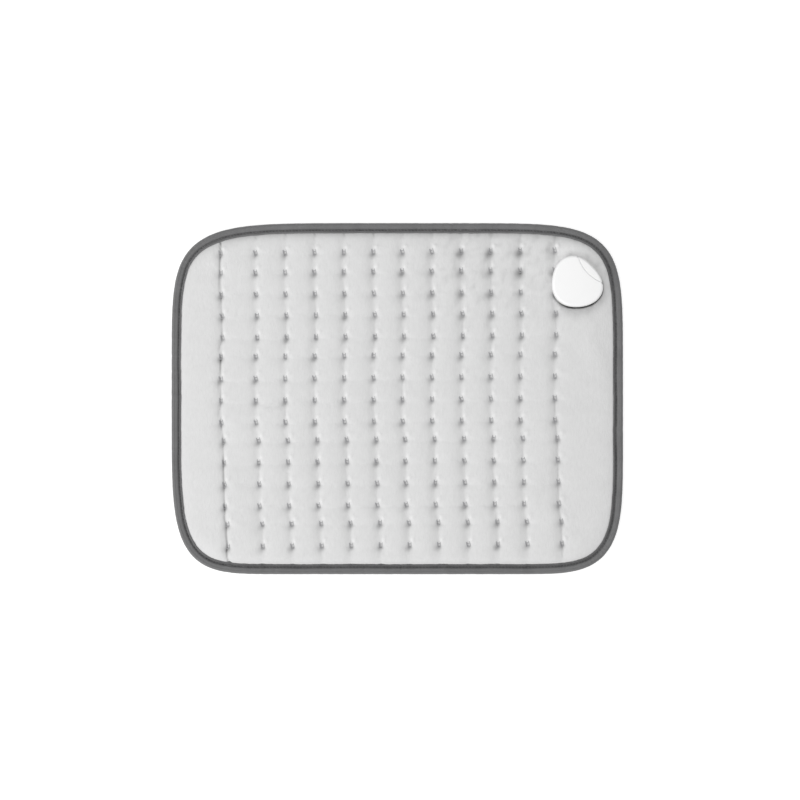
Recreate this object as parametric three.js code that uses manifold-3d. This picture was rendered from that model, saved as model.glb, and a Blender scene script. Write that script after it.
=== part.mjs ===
// Electric heating pad: a quilted plush face, a bound edge, the heating wire and its layers inside, and a
// coupling unit near one corner with a socket under a sprung release key.
// Millimetres, +Z up. The origin lies on the supporting surface under the middle of the pad, +X runs along
// the pad's long side, and +Y along its short side towards the edge that the unit is near.
import * as THREE from "three";
import { mergeVertices } from "three/addons/utils/BufferGeometryUtils.js";
import Module from "manifold-3d";

const wasm = await Module();
wasm.setup();

// Clearances
const layerGap = 0.3;
const fitGap = 0.3;
const overrun = 1;
// Points closer than this share of a gap are one point.
const mergeShare = 0.003;

// Pad outline: each corner is a quarter of a superellipse, its reach given as shares of the pad's sides
const padLength = 450;
const padWidth = 350;
const cornerShares = [
  { alongX: 0.421, alongY: 0.489, exponent: 5.64, turn: 0 },
  { alongX: 0.492, alongY: 0.483, exponent: 5.66, turn: 1 },
  { alongX: 0.261, alongY: 0.489, exponent: 4.62, turn: 2 },
  { alongX: 0.248, alongY: 0.394, exponent: 4.2, turn: 3 },
];
const cornerSteps = 160;
const edgeStations = 84;
const bendWeight = 90;

// Layers, from the bottom up
const bottomCoverThickness = 1.2;
const bottomRimThickness = 0.8;
const lowerBattingThickness = 1.2;
const carrierThickness = 0.5;
const wireDiameter = 1.8;
const upperBattingThickness = 1;
const battingMargin = 16;
const rimInset = 3.4;
const rimSlopeWidth = 3;

// Quilting of the top cover: columns of tacks along Y, rows along X, and the plain margins round them
const columnCount = 12;
const endColumnPitch = 34.4;
const rowCount = 15;
const shortRowSaving = 3;
const rowsPerGroup = 4;
const quiltLeftMargin = 50.35;
const quiltRightMargin = 67.15;
const quiltTopMargin = 30.2;
const quiltBottomMargin = 28;
const rowRiseShare = 0.014;
const rowShiftShares = [-4, -4, -2, 1, 2, -3, -3, -3, -2, 6, 7, 9, 10, 19, 21].map((share) => share / 100);
const tackThickness = 0.8;
const pressedThickness = 2.2;
const topRimThickness = 0.7;
const valleyRise = 1;
const crownRise = 3.8;
const waistDrop = 0.8;
const marginRise = 2.8;
const marginSlopeShare = 0.14;
const marginShoulder = 8;
const marginCrownShare = 0.55;
const pressMargin = 4;
const threadDiameter = 0.6;

// Edge binding
const bindingWidth = 10.2;
const bindingHeight = 8.4;
const bindingWall = 1.2;
const bindingRoll = 3;
const grooveInset = 7.4;
const grooveWidth = 1.6;
const grooveDepth = 1;
const lipDrop = 0.9;
const rollSteps = 4;

// Heating wire: how far its turns and its way back keep from the quilting and from the pad's edge
const turnMargin = 6.5;
const wireMargin = 17;
const wayBackMargin = 33;
const wireBendRadius = 9;
const wireCornerRadius = 36;
const riserBendRadius = 4;
const wireSides = 5;
const bendSteps = 4;

// Coupling unit: its outline is a rounded triangle, and it is turned so that its mouth faces the corner
const unitFromSide = 47.5;
const unitFromTop = 60;
const unitTurn = 43;
const unitRadius = 25;
const unitWideShare = 0.053;
const unitPointShare = 0.056;
const unitStations = 36;
const floorThickness = 1.6;
const baseHeight = 4.5;
const shellWall = 1.6;
const shoulderHeight = 4.4;
const edgeRound = 2.6;
const domeRise = 1;
const roundSteps = 3;
const domeSteps = 3;
const plateInset = 2;
const plateRound = 0.6;

// Mouth, contacts and board. Places along the unit's own axis are shares of its radius, from its middle
const mouthWidth = 21;
const mouthHeight = 5.8;
const mouthBackShare = 0.354;
const cheekThickness = 1.4;
const contactBlockBackShare = 0.082;
const contactBlockHeight = 5.2;
const contactCount = 3;
const contactPitch = 6;
const contactDiameter = 1.8;
const contactTipShare = 0.535;
const contactTailShare = -0.041;
const contactRise = 3;
const boardWidth = 17;
const boardThickness = 1.4;
const fuseDiameter = 2.6;
const fuseLength = 9;
const fuseLeadDiameter = 0.8;
const fuseLeadLength = 3;

// Lead entry
const entryRoom = 0.9;
const leadSpacing = 4.4;
const grommetWidth = 3.6;
const grommetLength = 8.8;
const grommetFlange = 0.7;
const grommetFlangeThickness = 1;
const terminalWidth = 2.6;
const terminalThickness = 0.8;
const terminalOverlap = 3;

// Clamp screws
const rearScrewShare = 0.782;
const sideScrewShare = 0.7;
const sideScrewAngle = 75;
const screwDiameter = 2.2;
const screwHeadDiameter = 4.4;
const screwHeadHeight = 1.5;
const screwSocketDiameter = 2;
const screwSocketDepth = 0.8;
const screwEngagement = 5.2;
const bossDiameter = 5.2;
const roundSides = 12;
const holeSides = 8;

// Release key
const keyArcRadius = 37;
const keyBackShare = 0.56;
const keyGap = 0.4;
const keyRoom = 1.6;
const leverThickness = 1.6;
const leverBackShare = 0.379;
const leverWidth = 17.6;
const wingBackShare = 0.6;
const wingLength = 2.4;
const wingTip = 0.8;
const pivotShare = 0.535;
const pivotRise = 1.3;
const barrelDiameter = 3.4;
const pinDiameter = 1.5;
const lugThickness = 1.6;
const lugLength = 2.4;
const catchWidth = 8;
const catchLength = 1.4;
const catchDepth = 1.5;
const springShare = 0.642;
const springDiameter = 2.4;
const springWire = 0.5;
const springTurns = 4;
const stepsPerTurn = 8;
const coilSides = 5;

// Levels that follow from the layers
const lowerBattingZ = bottomCoverThickness + layerGap;
const carrierZ = lowerBattingZ + lowerBattingThickness + layerGap;
const wireZ = carrierZ + carrierThickness + layerGap + wireDiameter / 2;
const upperBattingZ = wireZ + wireDiameter / 2 + layerGap;
const coverUnderZ = upperBattingZ + upperBattingThickness + layerGap;
const tackZ = coverUnderZ + tackThickness;
const crownZ = tackZ + crownRise;
const pressedZ = coverUnderZ + pressedThickness;
const channelTopZ = bindingHeight - grooveDepth - bindingWall;
const topRimZ = channelTopZ - layerGap;
const bottomRimZ = bindingWall + layerGap;

// Levels that follow inside the unit
const baseZ = pressedZ + layerGap;
const floorZ = baseZ + floorThickness;
const seatZ = floorZ + fitGap;
const baseTopZ = baseZ + baseHeight;
const coverZ = baseTopZ + layerGap;
const shoulderZ = coverZ + shoulderHeight;
const ceilingZ = shoulderZ + edgeRound - shellWall;
const keyZ = floorZ + mouthHeight;
const pivotZ = keyZ + pivotRise;
const contactZ = floorZ + contactRise;
const boardTopZ = seatZ + boardThickness;
const terminalZ = boardTopZ + fitGap;

// Places that follow from the pad's sides
const unitX = padLength / 2 - unitFromSide;
const unitY = padWidth / 2 - unitFromTop;
const quiltMiddleX = (quiltLeftMargin - quiltRightMargin) / 2;
const quiltMiddleY = (quiltBottomMargin - quiltTopMargin) / 2;
const quiltLength = padLength - quiltLeftMargin - quiltRightMargin;
const quiltDepth = padWidth - quiltTopMargin - quiltBottomMargin;
const columnPitch = (quiltLength - 2 * endColumnPitch) / (columnCount - 3);

// Places that follow from the unit's radius, along its axis and across it
const mouthBack = unitRadius * mouthBackShare;
const contactBlockBack = unitRadius * contactBlockBackShare;
const contactTip = unitRadius * contactTipShare;
const contactTail = unitRadius * contactTailShare;
const keyBack = unitRadius * keyBackShare;
const leverBack = unitRadius * leverBackShare;
const wingBack = unitRadius * wingBackShare;
const pivotX = unitRadius * pivotShare;
const springX = unitRadius * springShare;
const springY = mouthWidth / 2 + cheekThickness + fitGap + springDiameter / 2;
const rearScrewRadius = unitRadius * rearScrewShare;
const sideScrewRadius = unitRadius * sideScrewShare;
const entryX = bossDiameter / 2 + entryRoom + grommetFlange + grommetWidth / 2 - rearScrewRadius;
const boardBackX = entryX + grommetWidth / 2 + grommetFlange + fitGap;
const terminalFront = boardBackX + terminalOverlap;
const fuseX = (terminalFront + contactTail) / 2;

// Helpers

// A closed skin gathered from triangles, for forms that no stock geometry has.
class Skin {
  constructor() {
    this.positions = [];
  }

  triangle(a, b, c) {
    if (a.equals(b) || b.equals(c) || c.equals(a)) return;
    [a, b, c].forEach((point) => this.positions.push(point.x, point.y, point.z));
  }

  quad(a, b, c, d) {
    this.triangle(a, b, c);
    this.triangle(a, c, d);
  }

  // Joins two rings of equal count, each four points split along their shorter diagonal.
  // Rings run anticlockwise seen from above, and the skin climbs from a to b.
  band(a, b) {
    a.forEach((point, i) => {
      const next = (i + 1) % a.length;
      if (point.distanceTo(b[next]) <= b[i].distanceTo(a[next])) this.quad(point, a[next], b[next], b[i]);
      else this.quad(a[next], b[next], b[i], point);
    });
  }

  cap(ring, facingUp) {
    const flat = ring.map((point) => new THREE.Vector2(point.x, point.y));
    THREE.ShapeUtils.triangulateShape(flat, []).forEach(([a, b, c]) => {
      if (facingUp) this.triangle(ring[a], ring[b], ring[c]);
      else this.triangle(ring[a], ring[c], ring[b]);
    });
  }

  geometry() {
    const geometry = new THREE.BufferGeometry();
    geometry.setAttribute("position", new THREE.Float32BufferAttribute(this.positions, 3));
    return geometry;
  }
}

// A solid from rings, the first capped below and the last capped above.
function loft(rings) {
  const skin = new Skin();
  skin.cap(rings[0], false);
  rings.slice(1).forEach((ring, i) => skin.band(rings[i], ring));
  skin.cap(rings[rings.length - 1], true);
  return skin.geometry();
}

function toSolid(geometry) {
  const bare = new THREE.BufferGeometry();
  const source = geometry.index ? geometry.toNonIndexed() : geometry;
  bare.setAttribute("position", source.getAttribute("position"));
  const merged = mergeVertices(bare, layerGap * mergeShare);
  return new wasm.Manifold(
    new wasm.Mesh({
      numProp: 3,
      vertProperties: new Float32Array(merged.attributes.position.array),
      triVerts: new Uint32Array(merged.index.array),
    }),
  );
}

function toGeometry(solid) {
  const mesh = solid.getMesh();
  const geometry = new THREE.BufferGeometry();
  geometry.setAttribute("position", new THREE.BufferAttribute(mesh.vertProperties, mesh.numProp));
  geometry.setIndex(new THREE.BufferAttribute(mesh.triVerts, 1));
  return geometry.toNonIndexed();
}

function join(first, ...others) {
  return toGeometry(others.reduce((solid, other) => solid.add(toSolid(other)), toSolid(first)));
}

function cut(first, ...others) {
  return toGeometry(others.reduce((solid, other) => solid.subtract(toSolid(other)), toSolid(first)));
}

function common(first, second) {
  return toGeometry(toSolid(first).intersect(toSolid(second)));
}

// A block between two corners.
function block(x0, x1, y0, y1, z0, z1) {
  const geometry = new THREE.BoxGeometry(x1 - x0, y1 - y0, z1 - z0);
  return geometry.translate((x0 + x1) / 2, (y0 + y1) / 2, (z0 + z1) / 2);
}

// An upright round bar.
function post(x, y, z0, z1, radius, sides = roundSides) {
  const geometry = new THREE.CylinderGeometry(radius, radius, z1 - z0, sides);
  return geometry.rotateX(Math.PI / 2).translate(x, y, (z0 + z1) / 2);
}

// An upright prism over an outline of 2-D points.
function prism(points, z0, z1, holes = []) {
  const shape = new THREE.Shape(points);
  holes.forEach((hole) => shape.holes.push(new THREE.Path(hole)));
  const geometry = new THREE.ExtrudeGeometry(shape, { depth: z1 - z0, bevelEnabled: false });
  return geometry.translate(0, 0, z0);
}

// A solid of revolution about Z from [radius, height] pairs that run up its outside, from axis to axis.
function turned(profile, sides = roundSides) {
  const points = profile.map(([radius, height]) => new THREE.Vector2(radius, height));
  return new THREE.LatheGeometry(points, sides).rotateX(Math.PI / 2);
}

// A tube of few sides along a path of 3-D points, its ends closed square to the path.
function tube(path, radius, sides) {
  const tangents = path.map((point, i) => {
    const before = path[Math.max(i - 1, 0)];
    const after = path[Math.min(i + 1, path.length - 1)];
    const arriving = point.clone().sub(before).normalize();
    const leaving = after.clone().sub(point).normalize();
    return arriving.add(leaving).normalize();
  });
  const side = new THREE.Vector3(0, 0, 1);
  if (Math.abs(tangents[0].z) > Math.SQRT1_2) side.set(1, 0, 0);
  const rings = path.map((point, i) => {
    const across = new THREE.Vector3().crossVectors(tangents[i], side).normalize();
    side.crossVectors(across, tangents[i]).normalize();
    return Array.from({ length: sides }, (_, k) => {
      const angle = (2 * Math.PI * k) / sides;
      const offset = across.clone().multiplyScalar(Math.cos(angle) * radius);
      return point.clone().add(offset).addScaledVector(side, -Math.sin(angle) * radius);
    });
  });
  const skin = new Skin();
  const last = rings.length - 1;
  rings.slice(1).forEach((ring, i) => skin.band(rings[i], ring));
  for (let k = 1; k < sides - 1; k += 1) {
    skin.triangle(rings[0][0], rings[0][k + 1], rings[0][k]);
    skin.triangle(rings[last][0], rings[last][k], rings[last][k + 1]);
  }
  return skin.geometry();
}

// A path through corner points, each corner rounded by its own radius.
function roundedPath(corners, steps) {
  const path = [corners[0].point];
  corners.slice(1, -1).forEach(({ point, radius }, i) => {
    const back = corners[i].point.clone().sub(point).normalize();
    const ahead = corners[i + 2].point.clone().sub(point).normalize();
    const half = Math.acos(THREE.MathUtils.clamp(back.dot(ahead), -1, 1)) / 2;
    const centre = back.clone().add(ahead).normalize().multiplyScalar(radius / Math.sin(half)).add(point);
    const start = point.clone().addScaledVector(back, radius / Math.tan(half)).sub(centre);
    const end = point.clone().addScaledVector(ahead, radius / Math.tan(half)).sub(centre);
    const sweep = Math.PI - 2 * half;
    for (let k = 0; k <= steps; k += 1) {
      const share = k / steps;
      const bent = start.clone().multiplyScalar(Math.sin((1 - share) * sweep) / Math.sin(sweep));
      bent.addScaledVector(end, Math.sin(share * sweep) / Math.sin(sweep));
      path.push(bent.add(centre));
    }
  });
  path.push(corners[corners.length - 1].point);
  return path;
}

// Pad outline

// The outline as close points, anticlockwise from the middle of the right side, each with its inward normal.
function padOutline() {
  const points = [];
  cornerShares.forEach(({ alongX, alongY, exponent, turn }) => {
    const signX = turn === 0 || turn === 3 ? 1 : -1;
    const signY = turn < 2 ? 1 : -1;
    const reachX = alongX * padLength;
    const reachY = alongY * padWidth;
    for (let k = 0; k <= cornerSteps; k += 1) {
      const step = turn % 2 === 0 ? k : cornerSteps - k;
      const angle = (Math.PI / 2) * (step / cornerSteps);
      const shareX = Math.max(Math.cos(angle), 0) ** (2 / exponent);
      const shareY = Math.sin(angle) ** (2 / exponent);
      points.push(
        new THREE.Vector2(
          signX * (padLength / 2 - reachX + reachX * shareX),
          signY * (padWidth / 2 - reachY + reachY * shareY),
        ),
      );
    }
  });
  const stations = points.map((point, i) => {
    const before = points[(i + points.length - 1) % points.length];
    const after = points[(i + 1) % points.length];
    const along = after.clone().sub(before).normalize();
    return { point, normal: new THREE.Vector2(-along.y, along.x), heading: Math.atan2(along.y, along.x) };
  });
  let length = 0;
  let weight = 0;
  stations.forEach((station, i) => {
    const previous = stations[Math.max(i - 1, 0)];
    const step = station.point.distanceTo(previous.point);
    const turned = Math.abs(Math.sin((station.heading - previous.heading) / 2)) * 2;
    length += step;
    weight += step + bendWeight * turned;
    Object.assign(station, { length, weight });
  });
  return stations;
}

const outline = padOutline();

// The station where the running sum named by key reaches the value, wrapping past the outline's end.
function stationAt(key, value) {
  const total = outline[outline.length - 1][key];
  const wanted = ((value % total) + total) % total;
  const next = Math.max(outline.findIndex((station) => station[key] >= wanted), 1);
  const a = outline[next - 1];
  const b = outline[next];
  const share = b[key] > a[key] ? (wanted - a[key]) / (b[key] - a[key]) : 0;
  return {
    point: a.point.clone().lerp(b.point, share),
    normal: a.normal.clone().lerp(b.normal, share).normalize(),
  };
}

const edgeRing = Array.from({ length: edgeStations }, (_, i) =>
  stationAt("weight", (outline[outline.length - 1].weight * i) / edgeStations),
);

// A ring of 3-D points inside the outline by an inset, at one height.
function insetRing(stations, inset, z) {
  return stations.map(({ point, normal }) => {
    const moved = point.clone().addScaledVector(normal, inset);
    return new THREE.Vector3(moved.x, moved.y, z);
  });
}

// Coupling unit's placing and outline

const unit = new THREE.Group();
unit.position.set(unitX, unitY, 0);
unit.rotation.z = THREE.MathUtils.degToRad(unitTurn);
unit.updateMatrix();

// A shape made in the unit's frame, moved to where it lies in the pad.
function inPad(geometry) {
  return geometry.clone().applyMatrix4(unit.matrix);
}

function pointsInPad(points) {
  return points.map((point) => {
    const moved = new THREE.Vector3(point.x, point.y, 0).applyMatrix4(unit.matrix);
    return new THREE.Vector2(moved.x, moved.y);
  });
}

function unitRing(inset, z) {
  return Array.from({ length: unitStations }, (_, i) => {
    const angle = (2 * Math.PI * i) / unitStations;
    const form = 1 - unitWideShare * Math.cos(2 * angle) - unitPointShare * Math.cos(3 * angle);
    const radius = (unitRadius - inset) * form;
    return new THREE.Vector3(radius * Math.cos(angle), radius * Math.sin(angle), z);
  });
}

function unitPrism(inset, z0, z1) {
  return loft([unitRing(inset, z0), unitRing(inset, z1)]);
}

// The domed body of the cover, its wall kept inside by the inset.
function dome(inset, z0) {
  const rings = [unitRing(inset, z0)];
  const round = edgeRound - inset;
  for (let k = 0; k <= roundSteps; k += 1) {
    const angle = (Math.PI / 2) * (k / roundSteps);
    rings.push(unitRing(edgeRound - round * Math.cos(angle), shoulderZ + round * Math.sin(angle)));
  }
  for (let k = 1; k <= domeSteps; k += 1) {
    const share = k / (domeSteps + 1);
    const rise = domeRise * (1 - (1 - share) ** 2);
    rings.push(unitRing(edgeRound + (unitRadius - edgeRound) * share, shoulderZ + round + rise));
  }
  return loft(rings);
}

// Rounded slot outline about a middle on the unit's axis, long across the axis.
function slotOutline(x, width, length) {
  const slot = new THREE.Path();
  const radius = width / 2;
  const straight = length / 2 - radius;
  slot.absarc(x, straight, radius, 0, Math.PI);
  slot.absarc(x, -straight, radius, Math.PI, 2 * Math.PI);
  return slot.getPoints(holeSides / 2).slice(0, -1);
}

function circle(x, y, radius, sides) {
  return Array.from({ length: sides }, (_, i) => {
    const angle = (2 * Math.PI * i) / sides;
    return new THREE.Vector2(x + radius * Math.cos(angle), y + radius * Math.sin(angle));
  });
}

const screws = [
  { angle: 180, radius: rearScrewRadius },
  { angle: sideScrewAngle, radius: sideScrewRadius },
  { angle: -sideScrewAngle, radius: sideScrewRadius },
].map(({ angle, radius }) => {
  const turn = THREE.MathUtils.degToRad(angle);
  return new THREE.Vector2(radius * Math.cos(turn), radius * Math.sin(turn));
});
const screwHoleRadius = screwDiameter / 2 + fitGap;
const screwHoles = screws.map(({ x, y }) => pointsInPad(circle(x, y, screwHoleRadius, holeSides)));

// The two leads rise bent, so the layers are open a little further along them than the grommet is.
const leadOpening = pointsInPad(
  slotOutline(entryX, grommetWidth, leadSpacing + wireDiameter + riserBendRadius + 2 * fitGap),
);

// Quilt

// Where the grid line of a column or row lies. Whole numbers are tacks, halves lie midway between them.
function columnX(column) {
  const middle = (columnCount - 1) / 2;
  const fromMiddle = column - middle;
  const inner = middle - 1;
  const beyond = Math.max(Math.abs(fromMiddle) - inner, 0);
  const distance = Math.min(Math.abs(fromMiddle), inner) * columnPitch + beyond * endColumnPitch;
  return quiltMiddleX + Math.sign(fromMiddle) * distance;
}

// How far each row of tacks lies below the top row: a short gap follows the first row, and then every group.
const shortGaps = Array.from({ length: rowCount - 1 }, (_, i) => i % rowsPerGroup === 0);
const saved = shortGaps.filter(Boolean).length * shortRowSaving;
const rowPitch = (quiltDepth + saved) / (rowCount - 1);
const rowDepths = [0];
shortGaps.forEach((isShort, i) => rowDepths.push(rowDepths[i] + rowPitch - (isShort ? shortRowSaving : 0)));

function atHalf(values, position) {
  const low = Math.floor(position);
  const high = Math.min(low + 1, values.length - 1);
  return THREE.MathUtils.lerp(values[low], values[high], position - low);
}

// A point of the quilt's grid, column from the left and row from the top, both in steps of a half.
function quiltPoint(column, row) {
  const x = columnX(column) + columnPitch * atHalf(rowShiftShares, row);
  const y = quiltMiddleY + quiltDepth / 2 - atHalf(rowDepths, row) + rowRiseShare * x;
  const onColumn = Number.isInteger(column);
  const onRow = Number.isInteger(row);
  let z = crownZ;
  if (onColumn && onRow) z = tackZ;
  else if (onColumn) z = tackZ + valleyRise;
  else if (onRow) z = crownZ - waistDrop;
  const point = new THREE.Vector3(x, y, z);
  if (underUnit(point)) point.z = pressedZ;
  return point;
}

function underUnit(point) {
  return Math.hypot(point.x - unitX, point.y - unitY) < unitRadius + pressMargin;
}

// Top cover

function topCover() {
  const halves = (count) => Array.from({ length: 2 * count - 1 }, (_, i) => i / 2);
  const grid = halves(rowCount).map((row) => halves(columnCount).map((column) => quiltPoint(column, row)));
  const lastRow = grid.length - 1;
  const lastColumn = grid[0].length - 1;
  // The grid's edge, anticlockwise seen from above, from its top right corner.
  const sides = [
    grid[0].slice(1).reverse(),
    grid.slice(0, lastRow).map((row) => row[0]),
    grid[lastRow].slice(0, lastColumn),
    grid.slice(1).reverse().map((row) => row[lastColumn]),
  ];
  // Each side's stations on the pad's outline, between those nearest to its two corners.
  const nearest = (corner) =>
    outline.reduce((best, station) =>
      station.point.distanceTo(corner) < best.point.distanceTo(corner) ? station : best,
    ).length;
  const total = outline[outline.length - 1].length;
  const corners = sides.map((side) => nearest(new THREE.Vector2(side[0].x, side[0].y)));
  const stations = sides.flatMap((side, i) => {
    const from = corners[i];
    const span = (((corners[(i + 1) % sides.length] - from) % total) + total) % total;
    return side.map((_, k) => stationAt("length", from + (span * k) / side.length));
  });
  const edge = sides.flat();
  const lipInset = bindingWidth + layerGap + topRimThickness;
  const foot = insetRing(stations, lipInset, topRimZ);
  // The margin rises steeply beside the binding, and runs level from there to the outer tacks.
  const crown = edge.map((point, i) => {
    const distance = foot[i].distanceTo(point);
    const middle = foot[i].clone().lerp(point, Math.min(marginCrownShare, marginShoulder / distance));
    middle.z = tackZ + Math.min(marginRise, marginSlopeShare * distance);
    if (underUnit(middle)) middle.z = pressedZ;
    return middle;
  });
  const skin = new Skin();
  // The hidden rings have half as many corners.
  const halved = (ring) => ring.map((_, i) => ring[i - (i % 2)]);
  const under = halved(insetRing(stations, battingMargin - layerGap - topRimThickness, coverUnderZ));
  const rings = [
    under,
    insetRing(stations, lipInset + layerGap, topRimZ - topRimThickness),
    halved(insetRing(stations, rimInset, topRimZ - topRimThickness / 2)),
    foot,
    crown,
    edge,
  ];
  skin.cap(
    under.filter((_, i) => i % 2 === 0),
    false,
  );
  rings.slice(1).forEach((ring, i) => skin.band(rings[i], ring));
  grid.slice(0, lastRow).forEach((row, j) => {
    row.slice(0, lastColumn).forEach((point, i) => {
      const below = grid[j + 1];
      // The diagonals alternate, so that every tack is met by eight folds.
      if ((i + j) % 2 === 0) skin.quad(below[i + 1], row[i + 1], point, below[i]);
      else skin.quad(below[i], below[i + 1], row[i + 1], point);
    });
  });
  return cut(
    skin.geometry(),
    inPad(unitPrism(-layerGap, pressedZ, crownZ + overrun)),
    prism(leadOpening, coverUnderZ - overrun, crownZ),
    ...screwHoles.map((hole) => prism(hole, coverUnderZ - overrun, crownZ)),
  );
}

// Bottom cover: flat under the pad, its rim raised into the binding
function bottomCover() {
  const rimTop = bottomRimZ + bottomRimThickness;
  const flatInset = bindingWidth + rimSlopeWidth;
  const body = loft([
    insetRing(edgeRing, flatInset, 0),
    insetRing(edgeRing, bindingWidth, bottomRimZ),
    insetRing(edgeRing, rimInset, bottomRimZ),
    insetRing(edgeRing, rimInset, rimTop),
    insetRing(edgeRing, bindingWidth, rimTop),
    insetRing(edgeRing, flatInset, bottomCoverThickness),
  ]);
  return cut(body, inPad(unitPrism(plateInset - layerGap, -overrun, rimTop + overrun)));
}

// Edge binding: a folded tape swept round the outline, with a sewn groove near its inner edge
function bindingSection() {
  const middleZ = bindingHeight / 2;
  const arc = (inset, from, to) =>
    Array.from({ length: rollSteps + 1 }, (_, k) => {
      const angle = from + (to - from) * (k / rollSteps);
      return [
        bindingRoll - (bindingRoll - inset) * Math.cos(angle),
        middleZ + (middleZ - inset) * Math.sin(angle),
      ];
    });
  return [
    [bindingWidth, 0],
    ...arc(0, -Math.PI / 2, Math.PI / 2),
    [grooveInset - grooveWidth / 2, bindingHeight],
    [grooveInset, bindingHeight - grooveDepth],
    [grooveInset + grooveWidth / 2, bindingHeight - lipDrop / 2],
    [bindingWidth, bindingHeight - lipDrop],
    [bindingWidth, channelTopZ],
    [grooveInset, channelTopZ],
    ...arc(bindingWall, Math.PI / 2, -Math.PI / 2),
    [bindingWidth, bindingWall],
  ];
}

function edgeBinding() {
  const skin = new Skin();
  const lines = bindingSection().map(([inset, z]) => insetRing(edgeRing, inset, z));
  lines.forEach((line, i) => skin.band(line, lines[(i + 1) % lines.length]));
  return skin.geometry();
}

// Flat inner layers
function layer(inset, z, thickness, holes) {
  return prism(insetRing(edgeRing, inset, z), z, z + thickness, holes);
}

// Heating wire: up and down between the columns of tacks, and back along the bottom and the right side
function heatingWire() {
  const at = (x, y, radius = wireBendRadius) => ({ point: new THREE.Vector3(x, y, wireZ), radius });
  const riser = (side) => {
    const [foot, away] = [leadSpacing / 2, leadSpacing / 2 + riserBendRadius].map((y) =>
      pointsInPad([new THREE.Vector2(entryX, side * y)])[0],
    );
    return {
      top: { point: new THREE.Vector3(foot.x, foot.y, terminalZ - fitGap) },
      bend: at(foot.x, foot.y, riserBendRadius),
      direction: away.sub(foot).normalize(),
    };
  };
  const first = riser(1);
  const last = riser(-1);
  // Where a lead that leaves its riser on its own line reaches an upright at x.
  const meet = ({ bend, direction }, x) => {
    const run = (x - bend.point.x) / direction.x;
    return at(x, bend.point.y + direction.y * run);
  };
  const topY = quiltPoint(0, 0).y + turnMargin;
  const bottomY = quiltPoint(columnCount - 1, rowCount - 1).y - turnMargin;
  const backY = -padWidth / 2 + wireMargin;
  const backX = padLength / 2 - wayBackMargin;
  const runs = [];
  for (let gap = columnCount - 2; gap >= 0; gap -= 1) {
    const x = columnX(gap + 1 / 2);
    const down = (columnCount - 2 - gap) % 2 === 0;
    const start = gap === columnCount - 2 ? meet(first, x) : at(x, down ? topY : bottomY);
    runs.push(start, at(x, down && gap > 0 ? bottomY : topY));
  }
  runs[runs.length - 1] = at(columnX(1 / 2), backY);
  const corners = [
    first.top,
    first.bend,
    ...runs,
    at(backX, backY, wireCornerRadius),
    meet(last, backX),
    last.bend,
    last.top,
  ];
  return tube(roundedPath(corners, bendSteps), wireDiameter / 2, wireSides);
}

// Seam thread of one column, in its valley. The unit covers the head of the last column.
function seamThread(column) {
  const path = [];
  for (let row = 0; row <= rowCount - 1; row += 1 / 2) {
    const point = quiltPoint(column, row);
    if (point.y > unitY - unitRadius && underUnit(new THREE.Vector3(point.x, unitY, 0))) continue;
    path.push(point.add(new THREE.Vector3(0, 0, layerGap + threadDiameter / 2)));
  }
  return tube(path, threadDiameter / 2, 3);
}

// Coupling unit's pieces, all in the unit's frame

function clampPlate() {
  const top = carrierZ - layerGap;
  const plate = loft([
    unitRing(plateInset + plateRound, 0),
    unitRing(plateInset, plateRound),
    unitRing(plateInset, top),
  ]);
  const seatTop = screwHeadHeight + 2 * fitGap;
  const recesses = screws.flatMap(({ x, y }) => [
    post(x, y, -overrun, seatTop, screwHeadDiameter / 2 + fitGap),
    post(x, y, 0, top + overrun, screwHoleRadius, holeSides),
  ]);
  return cut(plate, ...recesses);
}

function clampScrew() {
  const headZ = fitGap;
  const tipZ = coverZ + screwEngagement;
  const radius = screwDiameter / 2;
  return turned([
    [0, headZ + screwSocketDepth],
    [screwSocketDiameter / 2, headZ + screwSocketDepth],
    [screwSocketDiameter / 2, headZ],
    [screwHeadDiameter / 2, headZ],
    [screwHeadDiameter / 2, headZ + screwHeadHeight],
    [radius, headZ + screwHeadHeight],
    [radius, tipZ - radius],
    [radius / 2, tipZ],
    [0, tipZ],
  ]);
}

const frontX = unitRadius + overrun;

// The walls that close the mouth on its two sides.
function cheeks(z0, z1) {
  return [-1, 1].map((side) => {
    const inner = side * (mouthWidth / 2);
    const outer = side * (mouthWidth / 2 + cheekThickness);
    return block(contactBlockBack, frontX, Math.min(inner, outer), Math.max(inner, outer), z0, z1);
  });
}

function socketBase() {
  const body = unitPrism(0, baseZ, baseTopZ);
  const hollow = unitPrism(shellWall, floorZ, baseTopZ + overrun);
  const posts = screws.map(({ x, y }) => post(x, y, baseZ, baseTopZ, bossDiameter / 2));
  const walls = cheeks(baseZ, baseTopZ).map((cheek) => common(cheek, body));
  const mouth = block(mouthBack, frontX, -mouthWidth / 2, mouthWidth / 2, floorZ, baseTopZ + overrun);
  const entry = slotOutline(entryX, grommetWidth + 2 * fitGap, grommetLength + 2 * fitGap);
  return cut(
    join(cut(body, hollow), ...posts, ...walls),
    mouth,
    prism(entry, baseZ - overrun, floorZ + overrun),
    ...screws.map(({ x, y }) => post(x, y, baseZ - overrun, baseTopZ + overrun, screwHoleRadius)),
  );
}

// The lens between the key's rear arc, moved back by the gap, and the unit's front.
function keyPrism(gap, z0, z1) {
  const radius = keyArcRadius + gap;
  const centre = keyBack + keyArcRadius;
  const half = Math.acos((centre - unitRadius) / radius);
  const arc = Array.from({ length: roundSides + 1 }, (_, k) => {
    const angle = Math.PI - half + (2 * half * k) / roundSides;
    return new THREE.Vector2(centre + radius * Math.cos(angle), radius * Math.sin(angle));
  });
  const front = [-1, 1].map((side) => new THREE.Vector2(frontX, side * Math.abs(arc[0].y)));
  return prism([...arc, ...front], z0, z1);
}

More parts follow.
